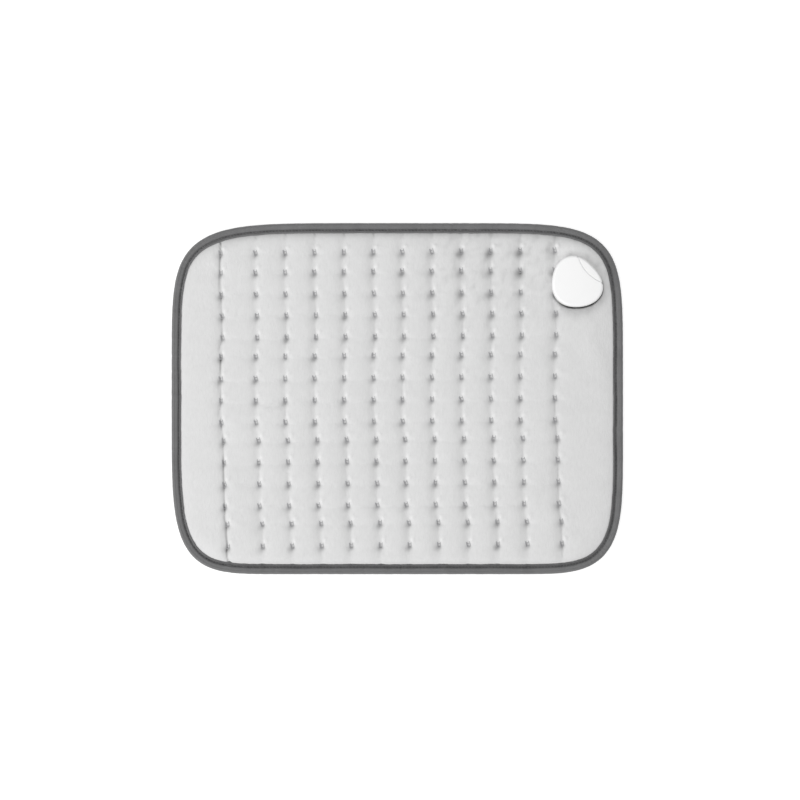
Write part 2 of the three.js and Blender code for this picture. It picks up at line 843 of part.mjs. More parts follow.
function socketCover() {
  const shell = cut(dome(0, coverZ), dome(shellWall, coverZ - overrun));
  const body = dome(shellWall / 2, coverZ);
  const bosses = screws.map(({ x, y }) => post(x, y, coverZ, ceilingZ + shellWall / 2, bossDiameter / 2));
  const lugs = [-1, 1].map((side) => {
    const inner = leverWidth / 2 + keyGap;
    const [y0, y1] = [side * inner, side * (inner + lugThickness)].sort((a, b) => a - b);
    const half = lugLength / 2;
    const bottom = pivotZ - barrelDiameter / 2;
    return block(pivotX - half, pivotX + half, y0, y1, bottom, ceilingZ + shellWall / 2);
  });
  const walls = cheeks(coverZ, keyZ - keyRoom).map((cheek) => common(cheek, body));
  const pinLine = post(0, 0, -unitRadius, unitRadius, pinDiameter / 2 + fitGap);
  const pinHole = common(
    pinLine.rotateX(Math.PI / 2).translate(pivotX, 0, pivotZ),
    block(pivotX - lugLength, pivotX + lugLength, -springY, springY, keyZ, ceilingZ),
  );
  const screwTop = coverZ + screwEngagement + fitGap;
  return cut(
    join(shell, ...bosses, ...lugs, ...walls),
    keyPrism(keyGap, keyZ - keyRoom, ceilingZ + 2 * shellWall + domeRise),
    block(mouthBack, frontX, -mouthWidth / 2, mouthWidth / 2, coverZ - overrun, keyZ),
    pinHole,
    ...screws.map(({ x, y }) => post(x, y, coverZ - overrun, screwTop, screwHoleRadius)),
  );
}

function releaseKey() {
  const lens = common(dome(0, coverZ), keyPrism(0, keyZ, ceilingZ + 2 * shellWall + domeRise));
  const leverTop = keyZ + leverThickness;
  const lever = block(leverBack, keyBack + edgeRound, -leverWidth / 2, leverWidth / 2, keyZ, leverTop);
  // The wings reach over the springs, and stay clear of the cover's wall.
  const wingReach = springY + wingTip;
  const wings = common(
    block(wingBack, wingBack + wingLength, -wingReach, wingReach, keyZ, leverTop),
    unitPrism(shellWall + fitGap, keyZ - overrun, leverTop + overrun),
  );
  const barrel = post(0, 0, -leverWidth / 2, leverWidth / 2, barrelDiameter / 2);
  const bore = post(0, 0, -leverWidth, leverWidth, pinDiameter / 2 + fitGap, roundSides);
  const catchNose = block(
    leverBack,
    leverBack + catchLength,
    -catchWidth / 2,
    catchWidth / 2,
    keyZ - catchDepth,
    leverTop,
  );
  const body = join(lens, lever, wings, barrel.rotateX(Math.PI / 2).translate(pivotX, 0, pivotZ), catchNose);
  return cut(body, bore.rotateX(Math.PI / 2).translate(pivotX, 0, pivotZ));
}

function pivotPin() {
  const length = leverWidth + 2 * (keyGap + lugThickness);
  return post(0, 0, -length / 2, length / 2, pinDiameter / 2).rotateX(Math.PI / 2);
}

function keySpring() {
  const height = keyZ - seatZ - fitGap;
  const rise = height - springWire;
  const radius = (springDiameter - springWire) / 2;
  const steps = springTurns * stepsPerTurn;
  const path = Array.from({ length: steps + 1 }, (_, k) => {
    const angle = (2 * Math.PI * k) / stepsPerTurn;
    const z = seatZ + springWire / 2 + (rise * k) / steps;
    return new THREE.Vector3(radius * Math.cos(angle), radius * Math.sin(angle), z);
  });
  return tube(path, springWire / 2, coilSides);
}

const contactLanes = Array.from(
  { length: contactCount },
  (_, i) => (i - (contactCount - 1) / 2) * contactPitch,
);

function contactBlock() {
  const half = mouthWidth / 2 - fitGap;
  const front = mouthBack - fitGap;
  const body = block(contactBlockBack, front, -half, half, seatZ, seatZ + contactBlockHeight);
  const holes = contactLanes.map((y) =>
    post(0, 0, -unitRadius, unitRadius, contactDiameter / 2 + fitGap, holeSides)
      .rotateY(Math.PI / 2)
      .translate(0, y, contactZ),
  );
  return cut(body, ...holes);
}

function contactPin() {
  const radius = contactDiameter / 2;
  return turned([
    [0, contactTail],
    [radius, contactTail],
    [radius, contactTip - radius],
    [radius / 2, contactTip],
    [0, contactTip],
  ]).rotateY(Math.PI / 2);
}

function terminalBoard() {
  const half = boardWidth / 2;
  return block(boardBackX, contactBlockBack - fitGap, -half, half, seatZ, boardTopZ);
}

function thermalFuse() {
  const body = fuseDiameter / 2;
  const lead = fuseLeadDiameter / 2;
  const half = fuseLength / 2;
  const end = half + fuseLeadLength;
  return turned([
    [0, -end],
    [lead, -end],
    [lead, -half],
    [body, lead - half],
    [body, half - lead],
    [lead, half],
    [lead, end],
    [0, end],
  ]).rotateX(Math.PI / 2);
}

// A flat tab from over the end of a lead to a little way over the board.
function leadTerminal(side) {
  const y = side * (leadSpacing / 2);
  const back = entryX - terminalWidth / 2;
  const half = terminalWidth / 2;
  return block(back, terminalFront, y - half, y + half, terminalZ, terminalZ + terminalThickness);
}

function leadGrommet() {
  const flangeTop = seatZ + grommetFlangeThickness;
  const neck = prism(slotOutline(entryX, grommetWidth, grommetLength), baseZ, flangeTop);
  const flange = prism(
    slotOutline(entryX, grommetWidth + 2 * grommetFlange, grommetLength + 2 * grommetFlange),
    seatZ,
    flangeTop,
  );
  const holes = [-1, 1].map((side) =>
    post(entryX, side * (leadSpacing / 2), baseZ - overrun, flangeTop + overrun, wireDiameter / 2 + fitGap),
  );
  return cut(join(neck, flange), ...holes);
}

// Materials

function material(color, roughness, metalness = 0) {
  return () => new THREE.MeshStandardMaterial({ color, roughness, metalness });
}

const plush = material(0xd8d8d8, 0.95);
const lining = material(0xb9b9ba, 0.95);
const felt = material(0xe6e4df, 1);
const fleece = material(0xdedbd2, 1);
const tape = material(0x6d6d6e, 0.9);
const thread = material(0x8f8f90, 0.85);
const wireSheath = material(0xe9e4d6, 0.6);
const whiteShell = material(0xf3f3f3, 0.35);
const innerPlastic = material(0xd9d9d6, 0.5);
const boardGreen = material(0x3f6b4c, 0.6);
const steel = material(0xb4b4b2, 0.35, 1);
const brass = material(0xc9a451, 0.35, 1);
const rubber = material(0xc4c4c2, 0.8);

// The object

const heatingPad = new THREE.Group();

function add(parent, name, geometry, look, x = 0, y = 0, z = 0) {
  const mesh = new THREE.Mesh(geometry, look());
  mesh.name = name;
  mesh.position.set(x, y, z);
  parent.add(mesh);
}

const plateHole = pointsInPad(unitRing(plateInset - layerGap, 0));
add(heatingPad, "bottom_cover", bottomCover(), lining);
add(
  heatingPad,
  "lower_batting",
  layer(battingMargin, lowerBattingZ, lowerBattingThickness, [plateHole]),
  felt,
);
add(heatingPad, "wire_carrier", layer(rimInset, carrierZ, carrierThickness, screwHoles), fleece);
add(heatingPad, "heating_wire", heatingWire(), wireSheath);
add(
  heatingPad,
  "upper_batting",
  layer(battingMargin, upperBattingZ, upperBattingThickness, [...screwHoles, leadOpening]),
  felt,
);
add(heatingPad, "top_cover", topCover(), plush);
add(heatingPad, "edge_binding", edgeBinding(), tape);
for (let column = 0; column < columnCount; column += 1) {
  const number = String(column + 1).padStart(2, "0");
  add(heatingPad, `seam_thread_${number}`, seamThread(column), thread);
}

heatingPad.add(unit);
add(unit, "clamp_plate", clampPlate(), whiteShell);
screws.forEach(({ x, y }, i) => add(unit, `clamp_screw_${i + 1}`, clampScrew(), steel, x, y));
add(unit, "socket_base", socketBase(), whiteShell);
add(unit, "socket_cover", socketCover(), whiteShell);
add(unit, "release_key", releaseKey(), whiteShell);
add(unit, "key_pivot_pin", pivotPin(), steel, pivotX, 0, pivotZ);
add(unit, "key_spring_left", keySpring(), steel, springX, springY);
add(unit, "key_spring_right", keySpring(), steel, springX, -springY);
add(unit, "contact_block", contactBlock(), innerPlastic);
contactLanes.forEach((y, i) => add(unit, `contact_pin_${i + 1}`, contactPin(), brass, 0, y, contactZ));
add(unit, "terminal_board", terminalBoard(), boardGreen);
add(unit, "thermal_fuse", thermalFuse(), innerPlastic, fuseX, 0, boardTopZ + fitGap + fuseDiameter / 2);
add(unit, "lead_terminal_left", leadTerminal(1), brass);
add(unit, "lead_terminal_right", leadTerminal(-1), brass);
add(unit, "lead_grommet", leadGrommet(), rubber);

export default heatingPad;
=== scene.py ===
"""Heating pad: plush, binding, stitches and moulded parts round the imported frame."""

import math

import bmesh
import bpy
import numpy as np
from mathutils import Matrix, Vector, geometry, kdtree
from mathutils.bvhtree import BVHTree


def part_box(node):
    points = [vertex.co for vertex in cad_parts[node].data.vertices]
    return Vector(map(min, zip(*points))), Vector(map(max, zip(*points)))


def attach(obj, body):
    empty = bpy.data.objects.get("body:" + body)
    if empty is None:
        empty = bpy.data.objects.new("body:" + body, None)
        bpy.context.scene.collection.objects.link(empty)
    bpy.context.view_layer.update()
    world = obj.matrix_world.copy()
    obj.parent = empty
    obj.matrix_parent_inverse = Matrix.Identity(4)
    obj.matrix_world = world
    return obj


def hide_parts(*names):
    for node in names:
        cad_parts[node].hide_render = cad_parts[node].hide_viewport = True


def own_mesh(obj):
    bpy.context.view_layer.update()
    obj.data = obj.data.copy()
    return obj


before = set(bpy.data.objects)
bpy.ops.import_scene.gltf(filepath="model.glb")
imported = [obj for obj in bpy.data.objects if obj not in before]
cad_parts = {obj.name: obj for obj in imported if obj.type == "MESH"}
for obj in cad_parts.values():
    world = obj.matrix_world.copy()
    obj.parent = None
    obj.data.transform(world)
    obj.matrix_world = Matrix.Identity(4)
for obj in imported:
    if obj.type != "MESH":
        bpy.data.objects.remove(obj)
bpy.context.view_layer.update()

# Sizes are in millimetres as far as the last section, and meshes are written in metres.
MM = 0.001
SEED = 11
FULL_TURN = 2 * math.pi


def node_box(node):
    """Lowest and highest corner of a CAD node, in millimetres."""
    low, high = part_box(node)
    return np.array(low) / MM, np.array(high) / MM


# Levels and sizes of the frame
PAD_LOW, PAD_HIGH = node_box("edge_binding")
PAD_LENGTH, PAD_WIDTH, BINDING_HEIGHT = PAD_HIGH - PAD_LOW
PAD_SIZE = np.array([PAD_LENGTH, PAD_WIDTH])
LINING_TOP = 1.2
COVER_RIM_LOW = node_box("top_cover")[0][2]
CROWN_Z = node_box("top_cover")[1][2] - 0.6
BASE_LOW, BASE_HIGH = (corner[2] for corner in node_box("socket_base"))
SHELL_LOW, SHELL_HIGH = (corner[2] for corner in node_box("socket_cover"))
PLATE_HIGH = node_box("clamp_plate")[1][2]

# Pad outline: each corner is a quarter of a superellipse, with its reach as shares of the pad's sides,
# its exponent and its place
CORNERS = [
    ((0.421, 0.489), 5.64, (1, 1)),
    ((0.492, 0.483), 5.66, (-1, 1)),
    ((0.261, 0.489), 4.62, (-1, -1)),
    ((0.248, 0.394), 4.2, (1, -1)),
]
CORNER_STEPS = 1200

# Quilting
COLUMNS = 12
ROWS = 15
COLUMN_PITCH = 29.3
END_COLUMN_PITCH = 34.4
ROW_PITCH = 21.7
SHORT_ROW_PITCH = 18.7
ROWS_PER_GROUP = 4
QUILT_MIDDLE = (-8.4, -1.1)
ROW_RISE_SHARE = 0.009
ROW_SHIFT_SHARES = np.array([-4, -4, -2, 1, 2, -3, -3, -3, -2, 6, 7, 9, 10, 19, 21]) / 100
ROW_NUDGES = np.array([-7, 1, 0, -4, -4, -2, 1, 2, 1, -5, -5, -4, -4, -12, -8]) / 10
TACK_RISE = 0.9
COVER_UNDER_Z = 7.2
PRESSED_Z = 9.3
RIM_Z = 5.7
LIP_Z = 7.2
VALLEY = {"depth": 0.85, "reach": 5.5}
DIP = {"depth": 1.3, "reach": (4.4, 4.2), "shift": (-0.6, -0.7)}
EDGE_SOFTNESS = {"side": 14.0, "top": 4.5, "bottom": 4.0}
WRINKLE = {"row": 7, "columns": (1, 2), "start": 2.0, "sag": 4.6}

# Binding
BINDING_WIDTH = 10.2
BINDING_WALL = 1.2
BINDING_ROLL = 3.2
GROOVE_INSET = 7.4
GROOVE_DEPTH = 2.1
LIP_DROP = 0.9
CHANNEL_TOP = 6.2
STITCH_PITCH = 3.3

# Coupling unit, in its own frame: x out of the mouth, y across it
UNIT_FROM_SIDE = 47.5
UNIT_FROM_TOP = 60.0
UNIT_TURN = math.radians(43)
UNIT_RADIUS = 25.0
UNIT_WIDE_SHARE = 0.053
UNIT_POINT_SHARE = 0.056
SHELL_WALL = 1.6
FLOOR_THICKNESS = 1.6
EDGE_ROUND = 2.6
SHOULDER_HEIGHT = 4.4
PLATE_INSET = 2.0
MOUTH_HALF = 10.5
MOUTH_BACK = 0.354 * UNIT_RADIUS
MOUTH_HEIGHT = 5.8
CHEEK = 1.4
KEY_ARC_RADIUS = 37.0
KEY_BACK = 0.56 * UNIT_RADIUS
KEY_GAP = 0.14
KEY_ROOM = 1.6
KEY_STEP = 0.09
NOTCH = 1.5
LEVER_BACK, LEVER_HALF, LEVER_THICKNESS = 0.379 * UNIT_RADIUS, 8.8, 1.6
WINGS_BACK, WINGS_LENGTH, WINGS_HALF = 0.6 * UNIT_RADIUS, 2.4, 14.2
CATCH_LENGTH, CATCH_HALF, CATCH_DEPTH = 1.4, 4.0, 1.5
PIVOT = (0.535 * UNIT_RADIUS, 18.4)
BARREL_RADIUS = 1.7
PIN_RADIUS = 0.75
LUG_INNER, LUG_OUTER, LUG_HALF = 9.2, 10.8, 1.2
SCREWS = [(180, 0.782 * UNIT_RADIUS), (75, 0.7 * UNIT_RADIUS), (-75, 0.7 * UNIT_RADIUS)]
SCREW_RADIUS = 1.1
SCREW_HEAD_RADIUS = 2.2
BOSS_RADIUS = 2.6
CLEARANCE = 0.3
# Solids that are joined end this far inside one another, so they share no face.
OVERLAP = 0.05
ENTRY_X = 6.0 - SCREWS[0][1]
BLOCK_BACK, BLOCK_FRONT, BLOCK_HALF = 0.082 * UNIT_RADIUS, 0.082 * UNIT_RADIUS + 6.3, 10.2
BLOCK_LOW, BLOCK_HIGH = 11.6, 16.8
CONTACT_LANES = (-6.0, 0.0, 6.0)
CONTACT_RADIUS, CONTACT_Z = 0.9, 14.3
CONTACT_BACK, CONTACT_TIP = -0.041 * UNIT_RADIUS, 0.535 * UNIT_RADIUS
SPRING_X, SPRING_Y, SPRING_RADIUS, SPRING_WIRE = 0.642 * UNIT_RADIUS, 13.4, 0.95, 0.25
SPRING_LOW, SPRING_HIGH, SPRING_TURNS = 11.6, 16.8, 4
CEILING = SHELL_LOW + SHOULDER_HEIGHT + EDGE_ROUND - SHELL_WALL
FLOOR_Z = BASE_LOW + FLOOR_THICKNESS
KEY_Z = FLOOR_Z + MOUTH_HEIGHT
FRONT = UNIT_RADIUS + 1
ABOVE = SHELL_HIGH + 3


# Meshes

def linked(name, data):
    """A new object in the scene."""
    piece = bpy.data.objects.new(name, data)
    bpy.context.scene.collection.objects.link(piece)
    return piece


def make_object(name, points, faces):
    """A smooth mesh object from points in millimetres."""
    mesh = bpy.data.meshes.new(name)
    mesh.from_pydata((np.asarray(points, float) * MM).tolist(), [], [tuple(map(int, face)) for face in faces])
    mesh.update()
    mesh.polygons.foreach_set("use_smooth", [True] * len(mesh.polygons))
    return linked(name, mesh)


def remove(piece):
    bpy.data.objects.remove(piece, do_unlink=True)


def mesh_points(piece):
    """The piece's vertices in millimetres."""
    points = np.empty(len(piece.data.vertices) * 3)
    piece.data.vertices.foreach_get("co", points)
    return points.reshape(-1, 3) / MM


def set_points(piece, points):
    piece.data.vertices.foreach_set("co", (points * MM).ravel())
    piece.data.update()


def set_shade(piece, values):
    """Writes how much darker each point is painted, for the piece's material: painted shade and highlights.
    """
    piece.data.attributes.new("painted_shade_and_nap", "FLOAT", "POINT").data.foreach_set("value", values)


def set_all(target, **values):
    for key, value in values.items():
        setattr(target, key, value)
    return target


def modify(piece, kind, **settings):
    return set_all(piece.modifiers.new(kind.lower(), kind), **settings)


def apply_modifiers(piece):
    """Replaces the piece's mesh by what its modifiers make of it."""
    bpy.context.view_layer.update()
    evaluated = piece.evaluated_get(bpy.context.evaluated_depsgraph_get())
    mesh = bpy.data.meshes.new_from_object(evaluated)
    piece.modifiers.clear()
    old, piece.data = piece.data, mesh
    bpy.data.meshes.remove(old)
    return piece


def bands(rings, per_ring, wrap_rings=False):
    """Quads between rings of equal count that are closed round."""
    around = np.arange(per_ring)
    after = (around + 1) % per_ring
    faces = []
    for ring in range(rings if wrap_rings else rings - 1):
        a = ring * per_ring
        b = (ring + 1) % rings * per_ring
        faces.append(np.c_[a + around, a + after, b + after, b + around])
    return np.concatenate(faces)


def loft(rings):
    """Points and faces of a solid from rings of equal count, anticlockwise from above, lowest first."""
    rings = np.asarray(rings, float)
    count = rings.shape[1]
    faces = [tuple(face) for face in bands(len(rings), count)]
    points = np.concatenate([rings.reshape(-1, 3), [rings[0].mean(0), rings[-1].mean(0)]])
    low, high = len(points) - 2, len(points) - 1
    last = (len(rings) - 1) * count
    for k in range(count):
        after = (k + 1) % count
        faces += [(low, after, k), (high, last + k, last + after)]
    return points, faces


def tubes(paths, radius, sides, taper=1.0):
    """Round bars along paths of equal count, with closed ends, their radius scaled by the taper."""
    paths = np.asarray(paths, float)
    many, steps, _ = paths.shape
    tangent = np.gradient(paths, axis=1)
    tangent /= np.linalg.norm(tangent, axis=2, keepdims=True)
    across = np.cross(tangent, [0, 0, 1.0])
    across /= np.linalg.norm(across, axis=2, keepdims=True)
    up = np.cross(across, tangent)
    angle = angles(sides)
    offset = across[:, :, None] * np.cos(angle)[:, None] + up[:, :, None] * np.sin(angle)[:, None]
    rings = paths[:, :, None] + offset * (radius * taper * np.ones(steps))[None, :, None, None]
    faces = []
    one = bands(steps, sides)[:, ::-1]
    for start in range(0, many * steps * sides, steps * sides):
        end = start + (steps - 1) * sides
        faces += (one + start).tolist()
        faces += [list(range(start, start + sides)), list(range(end, end + sides))[::-1]]
    return rings.reshape(-1, 3), faces


def closed_layer(name, upper, lower, faces):
    """A closed sheet between two copies of an open mesh, whose faces run anticlockwise from above."""
    count = len(upper)
    faces = [tuple(int(i) for i in face) for face in faces]
    sides = {pair for face in faces for pair in zip(face, face[1:] + face[:1])}
    walls = [(b, a, a + count, b + count) for a, b in sorted(sides) if (b, a) not in sides]
    under = [tuple(i + count for i in face[::-1]) for face in faces]
    return make_object(name, np.concatenate([upper, lower]), faces + under + walls)


def angles(count, start=0.0):
    return FULL_TURN * (np.arange(count) + start) / count


def flat_ring(x, y, z):
    return np.c_[x, y, np.full(len(x), float(z))]


def circle(x, y, radius, z, count, start=0.0):
    angle = angles(count, start)
    return flat_ring(x + radius * np.cos(angle), y + radius * np.sin(angle), z)


def tree_of(places):
    tree = kdtree.KDTree(len(places))
    for k, (x, y) in enumerate(places):
        tree.insert((x, y, 0), k)
    tree.balance()
    return tree


def nearest_in(tree, points):
    """Number and distance of the tree's place nearest each point."""
    found = np.array([tree.find((x, y, 0))[1:] for x, y in points[:, :2]])
    return found[:, 0].astype(int), found[:, 1]


def bell(distance, reach):
    return np.exp(-((distance / reach) ** 2))


def blob(x, y, middle_x, middle_y, wide, tall):
    return bell(x - middle_x, wide) * bell(y - middle_y, tall)


def smooth_noise(points, size, seed, octaves=2):
    """Soft seeded noise about zero, its features of the given size in millimetres."""
    rng = np.random.default_rng(seed)
    total = np.zeros(len(points))
    weight = 1.0
    for octave in range(octaves):
        wave = FULL_TURN / (size / 2**octave)
        for _ in range(10):
            way = rng.normal(size=points.shape[1])
            way *= rng.uniform(0.6, 1.4) * wave / np.linalg.norm(way)
            total += weight * np.sin(points @ way + rng.uniform(0, FULL_TURN)) / 10**0.5
        weight *= 0.5
    return total


# Pad outline

class Edge:
    """The pad's outline by the length along it, anticlockwise from the middle of the right side."""

    def __init__(self):
        quarters = []
        for turn, (reach_shares, power, sign) in enumerate(CORNERS):
            way = np.linspace(0, math.pi / 2, CORNER_STEPS)
            way = way if turn % 2 == 0 else way[::-1]
            shares = np.c_[np.cos(way), np.sin(way)].clip(0)
            shares /= (shares**power).sum(1, keepdims=True) ** (1 / power)
            reach = np.array(reach_shares) * PAD_SIZE
            quarters.append(np.array(sign) * (PAD_SIZE / 2 - reach + reach * shares))
        points = np.concatenate([*quarters, quarters[0][:1]])
        step = np.linalg.norm(np.diff(points, axis=0), axis=1)
        self.points = points[np.r_[True, step > 1e-6]]
        self.lengths = np.r_[0, np.cumsum(np.linalg.norm(np.diff(self.points, axis=0), axis=1))]
        self.total = self.lengths[-1]

    def on(self, length):
        length = np.mod(length, self.total)
        return np.stack([np.interp(length, self.lengths, self.points[:, k]) for k in (0, 1)], -1)

    def normal(self, length, reach=2.0):
        along = self.on(length + reach) - self.on(length - reach)
        along /= np.linalg.norm(along, axis=-1, keepdims=True)
        return np.stack([-along[..., 1], along[..., 0]], -1)

    def at(self, length, inset):
        return self.on(length) + self.normal(length) * np.asarray(inset)[..., None]

    def ring(self, inset, count):
        return self.at(self.total * np.arange(count) / count, inset)

    def turning(self, length, reach=6.0):
        """How sharply the outline turns, in radians a millimetre."""
        before, after = self.normal(length - reach), self.normal(length + reach)
        cross = before[..., 0] * after[..., 1] - before[..., 1] * after[..., 0]
        return np.arcsin(np.clip(cross, -1, 1)) / (2 * reach)

    def nearest_length(self, point):
        return self.lengths[np.linalg.norm(self.points - point, axis=1).argmin()]


edge = Edge()
outline_tree = tree_of(edge.on(np.arange(int(edge.total))))


def nearest_edge(points):
    """How far each point lies inside the pad's outline, and the inward direction there."""
    length, inset = nearest_in(outline_tree, points)
    return inset, edge.normal(length)


def inset_of(points):
    return nearest_edge(points)[0]


# Coupling unit's placing

UNIT_MIDDLE = PAD_SIZE / 2 - (UNIT_FROM_SIDE, UNIT_FROM_TOP)


def in_pad(points):
    """Points of the unit's frame, in the pad's frame."""
    x, y, z = np.asarray(points, float).T
    along, across = math.cos(UNIT_TURN), math.sin(UNIT_TURN)
    return np.c_[along * x - across * y + UNIT_MIDDLE[0], across * x + along * y + UNIT_MIDDLE[1], z]


def unit_reach(angle, inset=0.0):
    form = 1 - UNIT_WIDE_SHARE * np.cos(2 * angle) - UNIT_POINT_SHARE * np.cos(3 * angle)
    return (UNIT_RADIUS - inset) * form


def outside_unit(points):
    """How far each point of the pad lies outside the unit's outline, less than zero inside it."""
    away = points[:, :2] - UNIT_MIDDLE
    return np.linalg.norm(away, axis=1) - unit_reach(np.arctan2(away[:, 1], away[:, 0]) - UNIT_TURN)


def unit_ring(inset, z, count=144):
    return circle(0, 0, unit_reach(angles(count), inset), z, count)


# Quilt

ROW_GAPS = np.where(np.arange(ROWS - 1) % ROWS_PER_GROUP == 0, SHORT_ROW_PITCH, ROW_PITCH)
ROW_DEPTHS = np.r_[0, np.cumsum(ROW_GAPS)] + ROW_NUDGES
QUILT_TOP = QUILT_MIDDLE[1] + ROW_DEPTHS[-1] / 2


def column_x(column):
    from_middle = column - (COLUMNS - 1) / 2
    inner = (COLUMNS - 3) / 2
    distance = np.minimum(np.abs(from_middle), inner) * COLUMN_PITCH
    distance = distance + np.clip(np.abs(from_middle) - inner, 0, None) * END_COLUMN_PITCH
    # The columns of the left half stand a little further right.
    nudge = np.interp(column, (0, 1, 5, 6), (0.3, 0.6, 0.6, 0))
    return QUILT_MIDDLE[0] + np.sign(from_middle) * distance + nudge


def row_shift(row):
    """How far right the columns have moved at a row."""
    return COLUMN_PITCH * np.interp(row, np.arange(ROWS), ROW_SHIFT_SHARES)


def quilt_xy(column, row):
    """Where a place of the quilt's grid lies, column from the left and row from the top."""
    x = column_x(column) + row_shift(row)
    return x, QUILT_TOP - np.interp(row, np.arange(ROWS), ROW_DEPTHS) + ROW_RISE_SHARE * x


def depth_at(x, y):
    """How far below the first row a place lies."""
    return QUILT_TOP + ROW_RISE_SHARE * x - y


def row_at(x, y):
    """The row coordinate of a place, held at the first and last rows beyond them."""
    return np.interp(depth_at(x, y), ROW_DEPTHS, np.arange(ROWS))


tack_columns, tack_rows = (grid.ravel() for grid in np.meshgrid(np.arange(COLUMNS), np.arange(ROWS)))
tack_xy = np.stack(quilt_xy(tack_columns, tack_rows), -1)
tack_shown = outside_unit(tack_xy) > -2.4
tack_tree = tree_of(tack_xy)


def nearest_tack(points):
    """The tack nearest each point, and the way from it to the point."""
    tack, _ = nearest_in(tack_tree, points)
    return tack, points[:, :2] - tack_xy[tack]


def column_offset(points):
    """Each point's nearest column, way right of its line, way beyond its ends, and depth."""
    x, y = points[:, 0], points[:, 1]
    offsets = (x - row_shift(row_at(x, y)))[:, None] - column_x(np.arange(COLUMNS))
    nearest = np.abs(offsets).argmin(1)
    depth = depth_at(x, y)
    beyond = np.maximum(-depth, depth - ROW_DEPTHS[-1]).clip(0)
    return nearest, offsets[np.arange(len(x)), nearest], beyond, depth


# Materials

def add_node(tree, kind, inputs=None, **settings):
    """A shader node, each of whose inputs is given a value or linked to a socket."""
    node = set_all(tree.nodes.new(kind), **settings)
    for key, value in (inputs or {}).items():
        if isinstance(value, bpy.types.NodeSocket):
            tree.links.new(value, node.inputs[key])
        else:
            node.inputs[key].default_value = value
    return node


class Look:
    """A procedural material, built node by node."""

    def __init__(self, name, color, roughness, metallic=0.0):
        self.material = bpy.data.materials.new(name)
        self.material.use_nodes = True
        self.tree = self.material.node_tree
        self.shader = self.tree.nodes["Principled BSDF"].inputs
        self.shader["Roughness"].default_value = roughness
        self.shader["Metallic"].default_value = metallic
        self.color = color
        self.place = self.add("ShaderNodeTexCoord").outputs["Object"]

    def add(self, kind, inputs=None, **settings):
        return add_node(self.tree, kind, inputs, **settings)

    def noise(self, size, detail=2.0, stretch=(1, 1, 1), rough=0.5):
        """Noise with features of about the given size in millimetres, stretched by shares."""
        scale = tuple(1 / (size * MM * share) for share in stretch)
        place = self.add("ShaderNodeMapping", {"Vector": self.place, "Scale": scale}).outputs["Vector"]
        inputs = {"Vector": place, "Scale": 1.0, "Detail": detail, "Roughness": rough}
        return self.add("ShaderNodeTexNoise", inputs).outputs["Fac"]

    def painted_shade_and_nap(self):
        """The painted shade and highlights written on the mesh, with the plush's darker ruffled nap, as an
        amount of tint.
        """
        shade = self.add("ShaderNodeAttribute", attribute_name="painted_shade_and_nap").outputs["Fac"]
        return self.math("MULTIPLY", shade, -1.0)

    def math(self, operation, a, b=0.0):
        return self.add("ShaderNodeMath", {0: a, 1: b}, operation=operation).outputs[0]

    def ranged(self, value, low, high, to_low, to_high):
        inputs = {"Value": value, "From Min": low, "From Max": high, "To Min": to_low, "To Max": to_high}
        return self.add("ShaderNodeMapRange", inputs).outputs["Result"]

    def about_zero(self, source, amount):
        """Noise moved to run about zero, from minus to plus the amount."""
        return self.ranged(source, 0.3, 0.7, -amount, amount)

    def tint(self, *amounts):
        """Base colour times one plus the sum of the amounts, which are sockets about zero."""
        total = 1.0
        for amount in amounts:
            total = self.math("ADD", amount, total)
        tinted = self.add("ShaderNodeVectorMath", {0: self.color, "Scale": total}, operation="SCALE")
        self.tree.links.new(tinted.outputs[0], self.shader["Base Color"])

    def bump(self, depth, *heights):
        """Relief from (socket, share) pairs, with the depth in millimetres."""
        total = 0.0
        for height, share in heights:
            total = self.math("ADD", self.math("MULTIPLY", height, share), total)
        inputs = {"Height": total, "Distance": depth * MM, "Strength": 1.0}
        self.tree.links.new(self.add("ShaderNodeBump", inputs).outputs["Normal"], self.shader["Normal"])
        return self

    def rough_by(self, source, low, high):
        self.tree.links.new(self.ranged(source, 0.0, 1.0, low, high), self.shader["Roughness"])

    def sheen(self, weight, roughness):
        self.shader["Sheen Weight"].default_value = weight
        self.shader["Sheen Roughness"].default_value = roughness
        return self


def plush_look():
    look = Look("plush", (0.675, 0.675, 0.675), 1.0)
    streaks = look.noise(0.9, 3.0, (1, 5, 1))
    clumps = look.noise(3.2, 3.0, (1, 1.8, 1), 0.6)
    clouds = look.noise(34)
    pile = look.noise(0.45, 2.0, (1, 1.6, 1), 0.7)
    zeroed = look.about_zero
    # The written tint is painted shade and highlights, with darker ruffled nap.
    look.tint(zeroed(streaks, 0.02), zeroed(clumps, 0.02), zeroed(clouds, 0.012), look.painted_shade_and_nap())
    return look.bump(0.25, (streaks, 0.5), (clumps, 1.0), (pile, 0.5)).sheen(0.15, 0.6).material


def woven_look(name, color, pitch, contrast, depth):
    """A plain weave of crossing threads."""
    look = Look(name, color, 0.9)
    waves = []
    for direction in ("X", "Y"):
        inputs = {"Vector": look.place, "Scale": 1 / (pitch * MM) / 20 * FULL_TURN, "Distortion": 0.3}
        waves.append(look.add("ShaderNodeTexWave", inputs, bands_direction=direction).outputs["Fac"])
    weave = look.math("MULTIPLY", *waves)
    look.tint(look.ranged(weave, 0, 1, -contrast, contrast), look.about_zero(look.noise(26), 0.03))
    return look.bump(depth, (weave, 1.0)).sheen(0.1, 0.5).material


def felt_look(name, color):
    look = Look(name, color, 1.0)
    fibres = look.noise(0.8, 4.0, (1, 3, 1), 0.7)
    patches = look.noise(7, 3.0)
    look.tint(look.about_zero(fibres, 0.06), look.about_zero(patches, 0.05))
    return look.bump(0.3, (fibres, 1.0), (patches, 0.4)).sheen(0.2, 0.5).material


